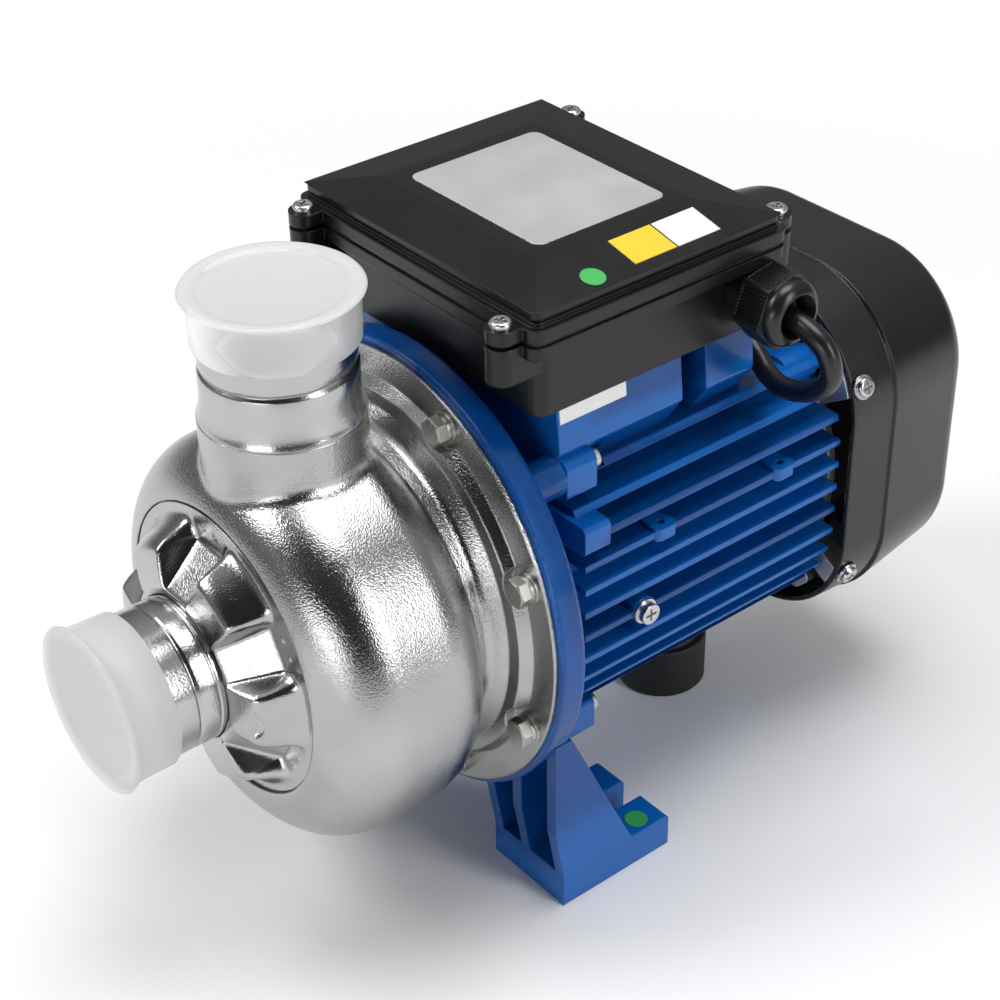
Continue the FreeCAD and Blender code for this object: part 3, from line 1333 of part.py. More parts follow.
def ear_webs(body, low, high):
    """Webs that join the posts to the walls."""
    sketch = new_sketch(body, "XY_Plane", low)
    for across in ("", "-"):
        for place, wall in (("d.lid_front - d.ear_reach", "d.lid_front + 6"),
                            ("d.lid_rear - 6", "d.lid_rear + d.ear_reach")):
            left = across + "d.ear_place - d.ear_radius"
            right = across + "d.ear_place + d.ear_radius"
            add_outline(sketch, [(left, place), (right, place), (right, wall), (left, wall)])
    return pad(body, sketch, high + " - (" + low + ")")


def terminal_box():
    body = new_body("box_form", label=False)
    box_form(body, "d.pad_height", "d.box_rim_low", "d.box_half", "d.box_front", "d.box_rear", "d.box_round")
    box_form(body, "d.box_rim_low", "d.lid_low - d.gasket_sheet", "d.lid_half + d.box_rim - 1",
             "d.lid_front - d.box_rim + 1", "d.lid_rear + d.box_rim - 1", "d.box_round")
    ear_posts(body, "d.box_rim_low - d.ear_height", "d.lid_low - d.gasket_sheet", "d.ear_radius")
    ear_webs(body, "d.box_rim_low - d.ear_height", "d.lid_low - d.gasket_sheet")
    hollow = new_body("box_hollow", label=False)
    box_form(hollow, "d.pad_height + d.box_wall", "d.lid_low", "d.box_half - d.box_wall",
             "d.box_front + d.box_wall", "d.box_rear - d.box_wall", "d.box_round - 1")
    sketch = new_sketch(hollow, "XY_Plane", "d.lid_low - 12")
    for across in ("", "-"):
        for place in ("d.lid_front - d.ear_reach", "d.lid_rear + d.ear_reach"):
            add_circle(sketch, (across + "d.ear_place", place), "2 + d.running_gap")
    pad(hollow, sketch, "14")
    sketch = new_sketch(hollow, "YZ_Plane", "d.box_half - d.box_wall - 6")
    add_circle(sketch, ("d.gland_place", "d.gland_height"), "8 + d.seat_gap")
    pad(hollow, sketch, "d.box_wall + 7")
    sketch = new_sketch(hollow, "XY_Plane", "d.pad_height - 1")
    add_circle(sketch, ("0", "(d.box_front + d.box_rear) / 2"), "12")
    pad(hollow, sketch, "d.box_wall + 2")
    boolean("Cut", "terminal_box", [body, hollow])


def lid_solid(tag, inset):
    """Filled form of the lid: skirt, and a border that slopes up to the flat top."""
    body = new_body("lid_form" + tag, label=False)
    low = "d.lid_low - (%s == 0 ? 0 : 1)" % inset
    box_form(body, low, "d.lid_edge - 0.8", "d.lid_half - " + inset, "d.lid_front + " + inset,
             "d.lid_rear - " + inset, "3.5 - %s * 0.8" % inset)
    edge = new_sketch(body, "XY_Plane", "d.lid_edge - 0.8 - %s * 0.5" % inset)
    lower = [("d.lid_half - " + inset, "d.lid_front + " + inset, "d.lid_rear - " + inset)]
    upper = [("d.lid_flat_half", "d.lid_flat_front", "d.lid_flat_rear")]
    flat = new_sketch(body, "XY_Plane", "d.lid_top - " + inset)
    for sketch, (half, front, rear) in ((edge, lower[0]), (flat, upper[0])):
        add_outline(sketch, [("-(" + half + ")", front), (half, front), (half, rear),
                             ("-(" + half + ")", rear)])
    feature(body, "AdditiveLoft", edge, Sections=[flat], Ruled=True)
    return body


def terminal_lid():
    outer = lid_solid("_outer", "0")
    inner = lid_solid("_inner", "d.lid_wall")
    shell = boolean("Cut", "lid_shell", [outer, inner], False)
    rim = new_body("lid_rim", label=False)
    box_form(rim, "d.lid_low", "d.lid_low + 5", "d.lid_half + d.box_rim - 1", "d.lid_front - d.box_rim + 1",
             "d.lid_rear + d.box_rim - 1", "d.box_round")
    ear_posts(rim, "d.lid_low", "d.lid_low + 5", "d.ear_radius")
    ear_webs(rim, "d.lid_low", "d.lid_low + 5")
    hollow = new_body("lid_hollow", label=False)
    box_form(hollow, "d.lid_low - 1", "d.lid_low + 6", "d.lid_half - d.lid_wall", "d.lid_front + d.lid_wall",
             "d.lid_rear - d.lid_wall", "2")
    ear_posts(hollow, "d.lid_low - 1", "d.lid_low + 8", "2.2")
    frame = boolean("MultiFuse", "lid_with_rim", [shell, rim], False)
    line = new_body("lid_line", label=False)
    box_form(line, "d.lid_low + 6.6", "d.lid_low + 7.6", "d.lid_half + 1", "d.lid_front - 1",
             "d.lid_rear + 1", "3.5")
    sketch = new_sketch(line, "XY_Plane", "d.lid_low + 5")
    add_outline(sketch, [
        ("-d.lid_half + d.lid_groove", "d.lid_front + d.lid_groove", "3"),
        ("d.lid_half - d.lid_groove", "d.lid_front + d.lid_groove", "3"),
        ("d.lid_half - d.lid_groove", "d.lid_rear - d.lid_groove", "3"),
        ("-d.lid_half + d.lid_groove", "d.lid_rear - d.lid_groove", "3"),
    ])
    pocket(line, sketch, "6", True)
    lined = boolean("Cut", "lid_with_line", [frame, line], False)
    boolean("Cut", "terminal_lid", [lined, hollow])
    gasket = new_body("gasket_form", label=False)
    box_form(gasket, "d.lid_low - d.gasket_sheet", "d.lid_low", "d.lid_half + d.box_rim - 2",
             "d.lid_front - d.box_rim + 2", "d.lid_rear + d.box_rim - 2", "d.box_round - 1")
    middle = new_body("gasket_hollow", label=False)
    box_form(middle, "d.lid_low - d.gasket_sheet - 1", "d.lid_low + 1", "d.box_half - d.box_wall",
             "d.box_front + d.box_wall", "d.box_rear - d.box_wall", "d.box_round - 1")
    boolean("Cut", "lid_gasket", [gasket, middle])


def lid_screws():
    screws = []
    for across in (1, -1):
        for place in (size("lid_front") - size("ear_reach"), size("lid_rear") + size("ear_reach")):
            foot = Vector(across * size("ear_place"), place, size("lid_low") + 5)
            head = Part.makeCylinder(4, 2.6, foot)
            head = head.makeFillet(1.2, [edge for edge in head.Edges if edge.Vertexes[0].Z > foot.z + 2
                                         and len(edge.Vertexes) == 1])
            for turn in (0, 90):
                slot = Part.makeBox(5, 1, 1.6, Vector(-2.5, -0.5, 1.2))
                slot.rotate(Vector(), Vector(0, 0, 1), turn + 25)
                slot.translate(foot)
                head = head.cut(slot)
            shank = Part.makeCylinder(2, 14, foot - Vector(0, 0, 13.8))
            screws.append(head.fuse(shank))
    shaped("lid_screws", Part.makeCompound(screws))


def box_contents():
    can = new_body("capacitor", ("-d.box_half + 24", "0", "d.shaft_height + d.pad_height + d.box_wall + 15 + d.seat_gap"))
    sketch = new_sketch(can, "YZ_Plane")
    add_outline(sketch, [
        ("d.box_front + 22", "0"),
        ("d.box_front + 22", "15", "2"),
        ("d.box_rear - 12", "15", "2"),
        ("d.box_rear - 12", "0"),
    ])
    revolve(can, sketch)
    block = new_body("terminal_block", ("d.box_half - 26", "0", "d.shaft_height + d.pad_height + d.box_wall"))
    sketch = new_sketch(block, "XY_Plane")
    add_outline(sketch, [("-9", "30"), ("9", "30"), ("9", "84"), ("-9", "84")])
    pad(block, sketch, "14")
    sketch = new_sketch(block, "XY_Plane", "14")
    for i in range(5):
        add_circle(sketch, ("0", "%d" % (36 + 10.5 * i)), "3.4")
    pocket(block, sketch, "5")


# Gland and power cable


def gland():
    place = ("0", "d.gland_place", "d.shaft_height + d.gland_height")
    body = new_body("gland_body", place)
    sketch = new_sketch(body, "XZ_Plane")
    add_outline(sketch, [
        ("d.box_half - d.box_wall - 4", "d.cable_radius + d.seat_gap"),
        ("d.box_half - d.box_wall - 4", "8"),
        ("d.box_half", "8"),
        ("d.box_half", "d.gland_body_radius"),
        ("d.box_half + d.gland_body_length", "d.gland_body_radius", "1"),
        ("d.box_half + d.gland_body_length", "9"),
        ("d.box_half + d.gland_body_length + 9", "9"),
        ("d.box_half + d.gland_body_length + 9", "d.cable_radius + 2 + d.running_gap"),
        ("d.box_half + d.gland_body_length", "d.cable_radius + d.seat_gap"),
    ])
    revolve(body, sketch)
    seal = new_body("gland_seal", place)
    sketch = new_sketch(seal, "XZ_Plane")
    end = "d.box_half + d.gland_body_length"
    add_outline(sketch, [
        (end + " + 2.4", "d.cable_radius + 0.1"),
        (end + " + 12", "d.cable_radius + 0.1"),
        (end + " + 12", "8.4"),
        (end + " + 9.2", "8.4"),
        (end + " + 9.2", "d.cable_radius + 1.8"),
    ])
    revolve(seal, sketch)
    nut = new_body("gland_nut", place)
    sketch = new_sketch(nut, "YZ_Plane", end)
    corners = [("d.gland_nut_across / 1.732 * cos(%d)" % (60 * i + 10),
                "d.gland_nut_across / 1.732 * sin(%d)" % (60 * i + 10), "2") for i in range(6)]
    add_outline(sketch, corners)
    pad(nut, sketch, "d.gland_nut_length")
    sketch = new_sketch(nut, "XZ_Plane")
    mouth = end + " + d.gland_nut_length"
    add_outline(sketch, [
        (mouth + " - 1", "0"),
        (mouth + " - 1", "d.gland_dome_radius - 0.4"),
        (mouth, "d.gland_dome_radius"),
        (mouth + " + d.gland_dome_length", "d.gland_dome_radius", "5"),
        (mouth + " + d.gland_dome_length", "0"),
    ])
    revolve(nut, sketch)
    sketch = new_sketch(nut, "XZ_Plane")
    add_outline(sketch, [
        (end + " - 1", "0"),
        (end + " - 1", "9 + d.running_gap"),
        (end + " + 12 + d.running_gap", "9 + d.running_gap"),
        (end + " + 12 + d.running_gap", "d.gland_mouth_radius - 1"),
        (mouth + " + d.gland_dome_length - 4", "d.gland_mouth_radius - 1", "1"),
        (mouth + " + d.gland_dome_length + 1", "d.gland_mouth_radius + 2"),
        (mouth + " + d.gland_dome_length + 1", "0"),
    ])
    groove(nut, sketch)
    ribs = new_sketch(nut, "YZ_Plane", end + " + 1")
    for side in range(6):
        for step in range(-4, 5):
            turn = "%d" % (60 * side + 40)
            along = "%g" % (step * 1.35)
            reach = "(d.gland_nut_across / 2 + 0.02)"
            add_circle(ribs, ("%s * cos(%s) - %s * sin(%s)" % (reach, turn, along, turn),
                              "%s * sin(%s) + %s * cos(%s)" % (reach, turn, along, turn)), "0.4")
    pocket(nut, ribs, "d.gland_nut_length - 2", True)


# Chosen points of the cable: out of the gland, down in a loop and back under the box, across
# the motor behind the box, down its far side and along the floor to the coil
CABLE_ROUTE = [
    (57, 113.4, 224.5),
    (96, 113.4, 224.5),
    (105, 117, 207),
    (91, 121.5, 191),
    (66, 126, 181),
    (46, 132, 192),
    (22, 139, 192),
    (-20, 143, 192),
    (-68, 145, 190),
    (-96, 146, 150),
    (-100, 146, 80),
    (-104, 147, 30),
    (-118, 157, 4.3),
    (-150, 165.5, 4.3),
]

# Chosen points of the cable's end, from the coil up to the plug
TAIL_ROUTE = [
    (-143.7, 161, 12.45),
    (-162.5, 167.9, 12.45),
    (-177.5, 173.3, 19.5),
    (-192.5, 178.8, 19.5),
]


def smooth_wire(points):
    """Straight runs joined by tangent arcs, and the tightest of their radii."""
    edges, radii = [], []
    here = points[0]
    for i in range(1, len(points) - 1):
        corner = points[i]
        back, ahead = points[i - 1] - corner, points[i + 1] - corner
        half_turn = (math.pi - back.getAngle(ahead)) / 2
        reach = 0.45 * min(back.Length, ahead.Length)
        radii.append(reach / math.tan(half_turn))
        first = corner + back.normalize() * reach
        last = corner + ahead.normalize() * reach
        toward = (back + ahead).normalize()
        centre = corner + toward * (radii[-1] / math.cos(half_turn))
        middle = centre - toward * radii[-1]
        edges.append(Part.LineSegment(here, first).toShape())
        edges.append(Part.Arc(first, middle, last).toShape())
        here = last
    edges.append(Part.LineSegment(here, points[-1]).toShape())
    return Part.Wire(edges), radii


def swept_tube(name, route):
    points = [Vector(*point) for point in route]
    wire, radii = smooth_wire(points)
    circle = Part.makeCircle(size("cable_radius"), points[0], points[1] - points[0])
    tube = wire.makePipeShell([Part.Wire(circle)], True, False)
    section = math.pi * size("cable_radius") ** 2
    print(name, "radii", ["%.1f" % radius for radius in radii])
    print(name, "length %.1f, volume over section times length %.4f"
          % (wire.Length, tube.Volume / (section * wire.Length)))
    shaped(name, tube, "0")


def cable():
    swept_tube("power_cable", CABLE_ROUTE)
    swept_tube("cable_tail", TAIL_ROUTE)
    coil = new_body("cable_coil", ("-141", "215", "0"))
    sketch = new_sketch(coil, "XZ_Plane")
    layer = "d.cable_radius * 2"
    middle = "(d.coil_turn_radius)"
    add_outline(sketch, [
        (middle + " - " + layer, "0.1", "d.cable_radius - 0.5"),
        (middle + " + " + layer, "0.1", "d.cable_radius - 0.5"),
        (middle + " + " + layer, "0.1 + 2 * " + layer, "d.cable_radius - 0.5"),
        (middle + " - " + layer, "0.1 + 2 * " + layer, "d.cable_radius - 0.5"),
    ])
    revolve(coil, sketch, "V_Axis")


def plug():
    """Earthed round plug lying on its side, and its two pins."""
    end = Vector(*TAIL_ROUTE[-1])
    along = end - Vector(*TAIL_ROUTE[-2])
    turn = math.degrees(math.atan2(along.y, along.x))
    place = [str(value) for value in end]
    body = new_body("power_plug", place)
    sketch = new_sketch(body, "XZ_Plane")
    add_outline(sketch, [
        ("0", "0"),
        ("0", "d.cable_radius + 1.6"),
        ("26", "d.cable_radius + 3.4"),
        ("34", "11", "4"),
        ("38", "d.plug_radius - 2", "3"),
        ("48", "d.plug_radius", "4"),
        ("68", "d.plug_radius", "1"),
        ("68", "0"),
    ])
    revolve(body, sketch)
    grip = new_sketch(body, "YZ_Plane", "40")
    for side in ("", "-"):
        add_outline(grip, [
            (side + "(d.plug_radius - 2.5)", "-5"),
            (side + "(d.plug_radius + 2)", "-5"),
            (side + "(d.plug_radius + 2)", "5"),
            (side + "(d.plug_radius - 2.5)", "5"),
        ])
    pocket(body, grip, "29", True)
    pins = new_body("plug_pins", place)
    sketch = new_sketch(pins, "YZ_Plane", "68")
    add_circle(sketch, ("0", "9.5"), "2.4")
    add_circle(sketch, ("0", "-9.5"), "2.4")
    pad(pins, sketch, "19")
    for item in (body, pins):
        item.Placement.Rotation = FreeCAD.Rotation(Vector(0, 0, 1), turn)


# Earth screw and the places of the labels


def earth_screw():
    body = new_body("earth_screw")
    for radius, start, length in (("4.2", "d.frame_half + 1.4", "3"), ("5.2", "d.frame_half + 0.2", "1.2"),
                                  ("2.5", "d.frame_half - 9", "11")):
        sketch = new_sketch(body, "YZ_Plane", start)
        add_circle(sketch, ("d.earth_place", "-d.fin_pitch"), radius)
        pad(body, sketch, length)
    for turn in (0, 90):
        sketch = new_sketch(body, "YZ_Plane", "d.frame_half + 3")
        wide, tall = ("2.6", "0.5") if turn == 0 else ("0.5", "2.6")
        add_outline(sketch, [
            ("d.earth_place - " + wide, "-d.fin_pitch - " + tall),
            ("d.earth_place + " + wide, "-d.fin_pitch - " + tall),
            ("d.earth_place + " + wide, "-d.fin_pitch + " + tall),
            ("d.earth_place - " + wide, "-d.fin_pitch + " + tall),
        ])
        pocket(body, sketch, "3", True)


def label(name, corners, height):
    """Thin bare plate at a height above the shaft axis."""
    body = new_body(name)
    sketch = new_sketch(body, "XY_Plane", height)
    add_outline(sketch, corners)
    pad(body, sketch, "d.label_sheet")
    return body


def labels():
    label("rating_plate", [
        ("-d.plate_half", "d.plate_low_edge", "4"),
        ("d.plate_half", "d.plate_low_edge", "4"),
        ("d.plate_half", "d.plate_high_edge", "4"),
        ("-d.plate_half", "d.plate_high_edge", "4"),
    ], "d.lid_top")
    slope = "(d.lid_top - d.lid_edge + 0.8) / (d.lid_half - d.lid_flat_half)"
    for name, front, rear in (("yellow_label", "58", "77.3"), ("white_label", "78", "98")):
        body = new_body(name)
        sketch = new_sketch(body, "XZ_Plane", "-(%s)" % front)
        inner, outer = "48", "62.4"
        rise = "(d.lid_top - (%s - d.lid_flat_half) * " + slope + ")"
        add_outline(sketch, [
            (inner, rise % inner),
            (outer, rise % outer),
            (outer, rise % outer + " + d.label_sheet"),
            (inner, rise % inner + " + d.label_sheet"),
        ])
        pad(body, sketch, "%s - (%s)" % (rear, front), True)
    side = new_body("serial_label")
    sketch = new_sketch(side, "XZ_Plane", "-d.adapter_length - 1")
    lean = "2 / (d.pad_height - d.pad_low)"
    place = "(d.pad_half - (%s - d.pad_low) * " + lean + ")"
    add_outline(sketch, [
        (place % "78", "78"),
        (place % "78" + " + d.label_sheet", "78"),
        (place % "85" + " + d.label_sheet", "85"),
        (place % "85", "85"),
    ])
    pad(side, sketch, "31", True)
    run = size("lid_half") - size("lid_flat_half")
    drop = size("lid_top") - size("lid_edge") + 0.8
    side = size("lid_dot_side")
    spot = Vector(side, size("lid_dot_rear"), size("lid_top") - (side - size("lid_flat_half")) * drop / run)
    on_lid = Part.makeCylinder(size("dot_radius"), size("label_sheet"), spot, Vector(drop, 0, run))
    foot = Vector(size("leg_slot_place") + size("leg_dot_side"), size("leg_slot_start") + size("leg_dot_rear"),
                  size("leg_base") - size("shaft_height"))
    on_leg = Part.makeCylinder(size("dot_radius"), size("label_sheet"), foot)
    shaped("green_dots", Part.makeCompound([on_lid, on_leg]))


casing()
suction_plate()
nozzles()
transport_caps()
flange_hardware()
adapter_bracket()
motor_frame()
frame_screws()
rubber_foot()
shaft()
stator()
bearings()
impeller()
sealing()
rear_shield()
cooling_fan()
fan_cover()
cover_screws()
terminal_box()
terminal_lid()
lid_screws()
box_contents()
gland()
cable()
plug()
earth_screw()
labels()
doc.recompute()

for item in doc.Objects:
    if "Invalid" in item.State or "Error" in item.State:
        print("not built:", item.Name, item.State)

os.makedirs("parts", exist_ok=True)
for item in exported:
    shape = item.Shape
    if shape.isNull() or not shape.isValid() or not shape.Solids:
        print("bad shape:", item.Label)
        continue
    shape.exportStep("parts/%s.step" % item.Label)
    box = shape.BoundBox
    print("%-24s %2d solids %9.1f mm3  x %.1f..%.1f  y %.1f..%.1f  z %.1f..%.1f"
          % (item.Label, len(shape.Solids), shape.Volume, box.XMin, box.XMax, box.YMin, box.YMax,
             box.ZMin, box.ZMax))
print(len(exported), "pieces")
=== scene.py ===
import bpy
import json
import math
from mathutils import Matrix, Vector


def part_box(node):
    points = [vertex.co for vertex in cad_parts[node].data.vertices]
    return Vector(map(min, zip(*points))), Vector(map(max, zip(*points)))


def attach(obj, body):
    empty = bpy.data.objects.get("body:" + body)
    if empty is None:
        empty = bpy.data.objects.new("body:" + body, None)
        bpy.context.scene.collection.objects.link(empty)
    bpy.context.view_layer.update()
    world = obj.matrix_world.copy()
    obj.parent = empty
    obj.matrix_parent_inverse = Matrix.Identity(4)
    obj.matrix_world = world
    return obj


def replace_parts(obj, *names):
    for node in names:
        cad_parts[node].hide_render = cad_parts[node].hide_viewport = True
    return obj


# Centrifugal pump on a pale studio floor. Lengths in metres, Z up, the suction side faces -Y.

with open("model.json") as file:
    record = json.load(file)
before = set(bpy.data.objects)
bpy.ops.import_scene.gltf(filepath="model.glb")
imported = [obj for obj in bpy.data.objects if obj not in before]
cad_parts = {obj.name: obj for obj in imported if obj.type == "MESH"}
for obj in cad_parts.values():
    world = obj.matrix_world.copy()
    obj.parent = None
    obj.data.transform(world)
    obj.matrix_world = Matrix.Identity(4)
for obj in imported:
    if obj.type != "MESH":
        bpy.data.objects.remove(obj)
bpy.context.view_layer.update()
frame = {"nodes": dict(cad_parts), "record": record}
nodes = frame["nodes"]

AXIS_HEIGHT = 0.123
CABLE_DIAMETER = 0.0083
MILLIMETRES = 1000  # in a metre
CREASE_ANGLE = math.radians(40)


# Material helpers

BEVEL_SAMPLES = 6
# Pointiness range over which raised edges of the blue paint take a painted highlight
HIGHLIGHT_START, HIGHLIGHT_END = 0.535, 0.575


def new_material(name, color, roughness, metallic=0.0, specular=0.5):
    """Principled material. Returns its node tree, shader and object coordinates."""
    material = bpy.data.materials.new(name)
    material.use_nodes = True
    tree = material.node_tree
    shader = tree.nodes["Principled BSDF"]
    shader.inputs["Base Color"].default_value = (*color, 1)
    shader.inputs["Roughness"].default_value = roughness
    shader.inputs["Metallic"].default_value = metallic
    shader.inputs["Specular IOR Level"].default_value = specular
    coordinates = tree.nodes.new("ShaderNodeTexCoord")
    return material, tree, shader, coordinates.outputs["Object"]


def noise(tree, place, scale, detail):
    """Noise value in object space. The scale is in waves per metre."""
    texture = tree.nodes.new("ShaderNodeTexNoise")
    texture.inputs["Scale"].default_value = scale
    texture.inputs["Detail"].default_value = detail
    tree.links.new(place, texture.inputs["Vector"])
    return texture.outputs["Fac"]


def spread(tree, value, low, high, start=0.3, end=0.7):
    """Value mapped from the range start to end onto the range low to high."""
    node = tree.nodes.new("ShaderNodeMapRange")
    node.inputs["From Min"].default_value = start
    node.inputs["From Max"].default_value = end
    node.inputs["To Min"].default_value = low
    node.inputs["To Max"].default_value = high
    tree.links.new(value, node.inputs["Value"])
    return node.outputs["Result"]


# The colour sockets of the Mix node, which shares their names with its float and vector sockets
COLOR_INPUTS, COLOR_OUTPUT = slice(6, 8), 2


def blend_colors(tree, factor, first, second):
    """Mix of two colours, each a tuple or a socket, by a factor socket."""
    node = tree.nodes.new("ShaderNodeMix")
    node.data_type = "RGBA"
    tree.links.new(factor, node.inputs["Factor"])
    for socket, color in zip(node.inputs[COLOR_INPUTS], (first, second)):
        if isinstance(color, tuple):
            socket.default_value = (*color, 1)
        else:
            tree.links.new(color, socket)
    return node.outputs[COLOR_OUTPUT]


def bumps(tree, shader, heights, radius):
    """Chain of bumps, each (height socket, strength, distance), over edges softened by a radius."""
    bevel = tree.nodes.new("ShaderNodeBevel")
    bevel.samples = BEVEL_SAMPLES
    bevel.inputs["Radius"].default_value = radius
    normal = bevel.outputs["Normal"]
    for height, strength, distance in heights:
        bump = tree.nodes.new("ShaderNodeBump")
        bump.inputs["Strength"].default_value = strength
        bump.inputs["Distance"].default_value = distance
        tree.links.new(height, bump.inputs["Height"])
        tree.links.new(normal, bump.inputs["Normal"])
        normal = bump.outputs["Normal"]
    tree.links.new(normal, shader.inputs["Normal"])


def painted_edge_highlight(tree):
    """Mask for a painted highlight: a socket that is near one on raised edges."""
    geometry = tree.nodes.new("ShaderNodeNewGeometry")
    return spread(tree, geometry.outputs["Pointiness"], 0, 1, HIGHLIGHT_START, HIGHLIGHT_END)


# Materials


def pressed_stainless(name, edge, rough, grit):
    """Satin sheet steel: sparkling orange-peel grain, faint cloudiness."""
    material, tree, shader, place = new_material(name, (0.42, 0.42, 0.415), rough, 1.0)
    cloud = noise(tree, place, 28, 5)
    grain = noise(tree, place, 1650, 1)
    peel = noise(tree, place, 950, 2)
    color = blend_colors(tree, spread(tree, cloud, 0, 1), (0.37, 0.37, 0.366), (0.47, 0.47, 0.465))
    tree.links.new(color, shader.inputs["Base Color"])
    tree.links.new(spread(tree, cloud, rough * 0.9, rough * 1.1), shader.inputs["Roughness"])
    bumps(tree, shader, [(grain, grit, 0.00034), (peel, grit * 0.35, 0.0003)], edge)
    return material


def turned_stainless():
    """Bright stainless tube with a fine grain."""
    material, tree, shader, place = new_material("turned_stainless", (0.46, 0.46, 0.455), 0.18, 1.0)
    cloud = noise(tree, place, 40, 4)
    grain = noise(tree, place, 1000, 3)
    tree.links.new(spread(tree, cloud, 0.16, 0.22), shader.inputs["Roughness"])
    bumps(tree, shader, [(grain, 0.24, 0.0003)], 0.0006)
    return material


def milky_plastic():
    """Thin translucent cap plastic, milky where it is thick."""
    material, tree, shader, place = new_material("milky_plastic", (0.84, 0.84, 0.835), 0.34)
    cloud = noise(tree, place, 30, 2)
    tree.links.new(blend_colors(tree, cloud, (0.81, 0.81, 0.805), (0.87, 0.87, 0.865)),
                   shader.inputs["Base Color"])
    shader.inputs["Transmission Weight"].default_value = 0.42
    shader.inputs["IOR"].default_value = 1.25
    shader.inputs["Subsurface Weight"].default_value = 0.6
    shader.inputs["Subsurface Radius"].default_value = (1, 1, 1)
    shader.inputs["Subsurface Scale"].default_value = 0.003
    bumps(tree, shader, [(noise(tree, place, 260, 2), 0.05, 0.0002)], 0.0005)
    return material


def gloss_blue():
    """Gloss blue paint over a casting, cloudy, and lighter on its raised edges by a painted highlight."""
    material, tree, shader, place = new_material("gloss_blue_casting", (0.001, 0.06, 0.25), 0.3,
                                                 specular=0.22)
    cloud = noise(tree, place, 22, 5)
    peel = noise(tree, place, 420, 3)
    cast = noise(tree, place, 90, 4)
    deep = blend_colors(tree, spread(tree, cloud, 0, 1), (0.0006, 0.045, 0.2), (0.001, 0.068, 0.29))
    # Painted highlight: raised edges lightened to a brighter blue, standing in for light caught on the edges
    highlight_mask = painted_edge_highlight(tree)
    tree.links.new(blend_colors(tree, highlight_mask, deep, (0.002, 0.11, 0.42)), shader.inputs["Base Color"])
    tree.links.new(spread(tree, cloud, 0.2, 0.34), shader.inputs["Roughness"])
    shader.inputs["Coat Weight"].default_value = 0.3
    shader.inputs["Coat Roughness"].default_value = 0.07
    bumps(tree, shader, [(cast, 0.12, 0.0008), (peel, 0.05, 0.0002)], 0.0011)
    return material


def plain(name, color, roughness, metallic=0.0, grain=300, depth=0.00012, strength=0.15, edge=0.0006,
          tint=0.12, specular=0.5):
    """Moulded or plated finish with a fine grain and slight colour variation."""
    material, tree, shader, place = new_material(name, color, roughness, metallic, specular)
    cloud = noise(tree, place, 35, 4)
    fine = noise(tree, place, grain, 3)
    dark = tuple(channel * (1 - tint) for channel in color)
    light = tuple(min(1.0, channel * (1 + tint)) for channel in color)
    tree.links.new(blend_colors(tree, spread(tree, cloud, 0, 1), dark, light), shader.inputs["Base Color"])
    tree.links.new(spread(tree, cloud, roughness * 0.88, roughness * 1.15), shader.inputs["Roughness"])
    bumps(tree, shader, [(fine, strength, depth)], edge)
    return material


STEEL = pressed_stainless("pressed_stainless", 0.0012, 0.2, 0.42)
STAR_STEEL = pressed_stainless("pressed_star", 0.0004, 0.16, 0.25)
TURNED = turned_stainless()
BLUE = gloss_blue()
CAP_WHITE = milky_plastic()
BOX_BLACK = plain("box_black", (0.004, 0.004, 0.0043), 0.3, grain=500, strength=0.16, edge=0.001, tint=0.2,
                  specular=0.38)
ZINC = plain("zinc_plate", (0.5, 0.49, 0.46), 0.3, 1.0, grain=700)
CLEAR_ZINC = plain("clear_zinc", (0.6, 0.6, 0.6), 0.26, 1.0, grain=700)
RUBBER = plain("black_rubber", (0.009, 0.009, 0.0095), 0.55, grain=500, strength=0.25)
CORE = plain("lamination_steel", (0.28, 0.28, 0.3), 0.45, 1.0, grain=900)
ALUMINIUM = plain("cast_aluminium", (0.6, 0.61, 0.62), 0.42, 1.0, grain=260, strength=0.3)
COPPER = plain("varnished_copper", (0.5, 0.2, 0.09), 0.35, 0.8, grain=900)
GROUND = plain("ground_steel", (0.72, 0.72, 0.72), 0.16, 1.0, grain=1200)
CERAMIC = plain("ceramic", (0.85, 0.83, 0.77), 0.22, grain=1200, tint=0.03)
GRAPHITE = plain("graphite", (0.05, 0.05, 0.055), 0.35, grain=900)
FAN_BLACK = plain("fan_black", (0.05, 0.05, 0.055), 0.42, grain=240)
COVER_BLACK = plain("cover_black", (0.004, 0.004, 0.0044), 0.27, grain=520, depth=0.0002, strength=0.3,
                    edge=0.0015, tint=0.3, specular=0.6)
CAN_WHITE = plain("can_white", (0.82, 0.82, 0.8), 0.35, tint=0.04)
GLAND_BLACK = plain("gland_black", (0.006, 0.006, 0.0065), 0.28, grain=260)
CABLE_BLACK = plain("cable_black", (0.006, 0.006, 0.0065), 0.3, grain=700, strength=0.2)
FOIL = plain("silver_foil", (0.6, 0.61, 0.62), 0.36, 0.5, grain=900, strength=0.05, tint=0.05)
YELLOW = plain("yellow_foil", (0.82, 0.56, 0.03), 0.35, grain=900, tint=0.05)
WHITE = plain("white_foil", (0.8, 0.8, 0.78), 0.35, grain=900, tint=0.03)
GREEN = plain("green_dot", (0.05, 0.4, 0.09), 0.4, grain=900, tint=0.2)

FINISH = {
    "stainless_sheet": STEEL,
    "stainless_turned": TURNED,
    "cap_plastic": CAP_WHITE,
    "zinc_steel": ZINC,
    "blue_paint": BLUE,
    "black_rubber": RUBBER,
    "core_steel": CORE,
    "cast_aluminium": ALUMINIUM,
    "copper_winding": COPPER,
    "bearing_steel": GROUND,
    "seal_ceramic": CERAMIC,
    "seal_graphite": GRAPHITE,
    "fan_plastic": FAN_BLACK,
    "cover_black": COVER_BLACK,
    "clear_zinc": CLEAR_ZINC,
    "box_black": BOX_BLACK,
    "capacitor_white": CAN_WHITE,
    "gland_plastic": GLAND_BLACK,
    "cable_rubber": CABLE_BLACK,
    "rating_silver": FOIL,
    "label_yellow": YELLOW,
    "label_white": WHITE,
    "dot_green": GREEN,
}


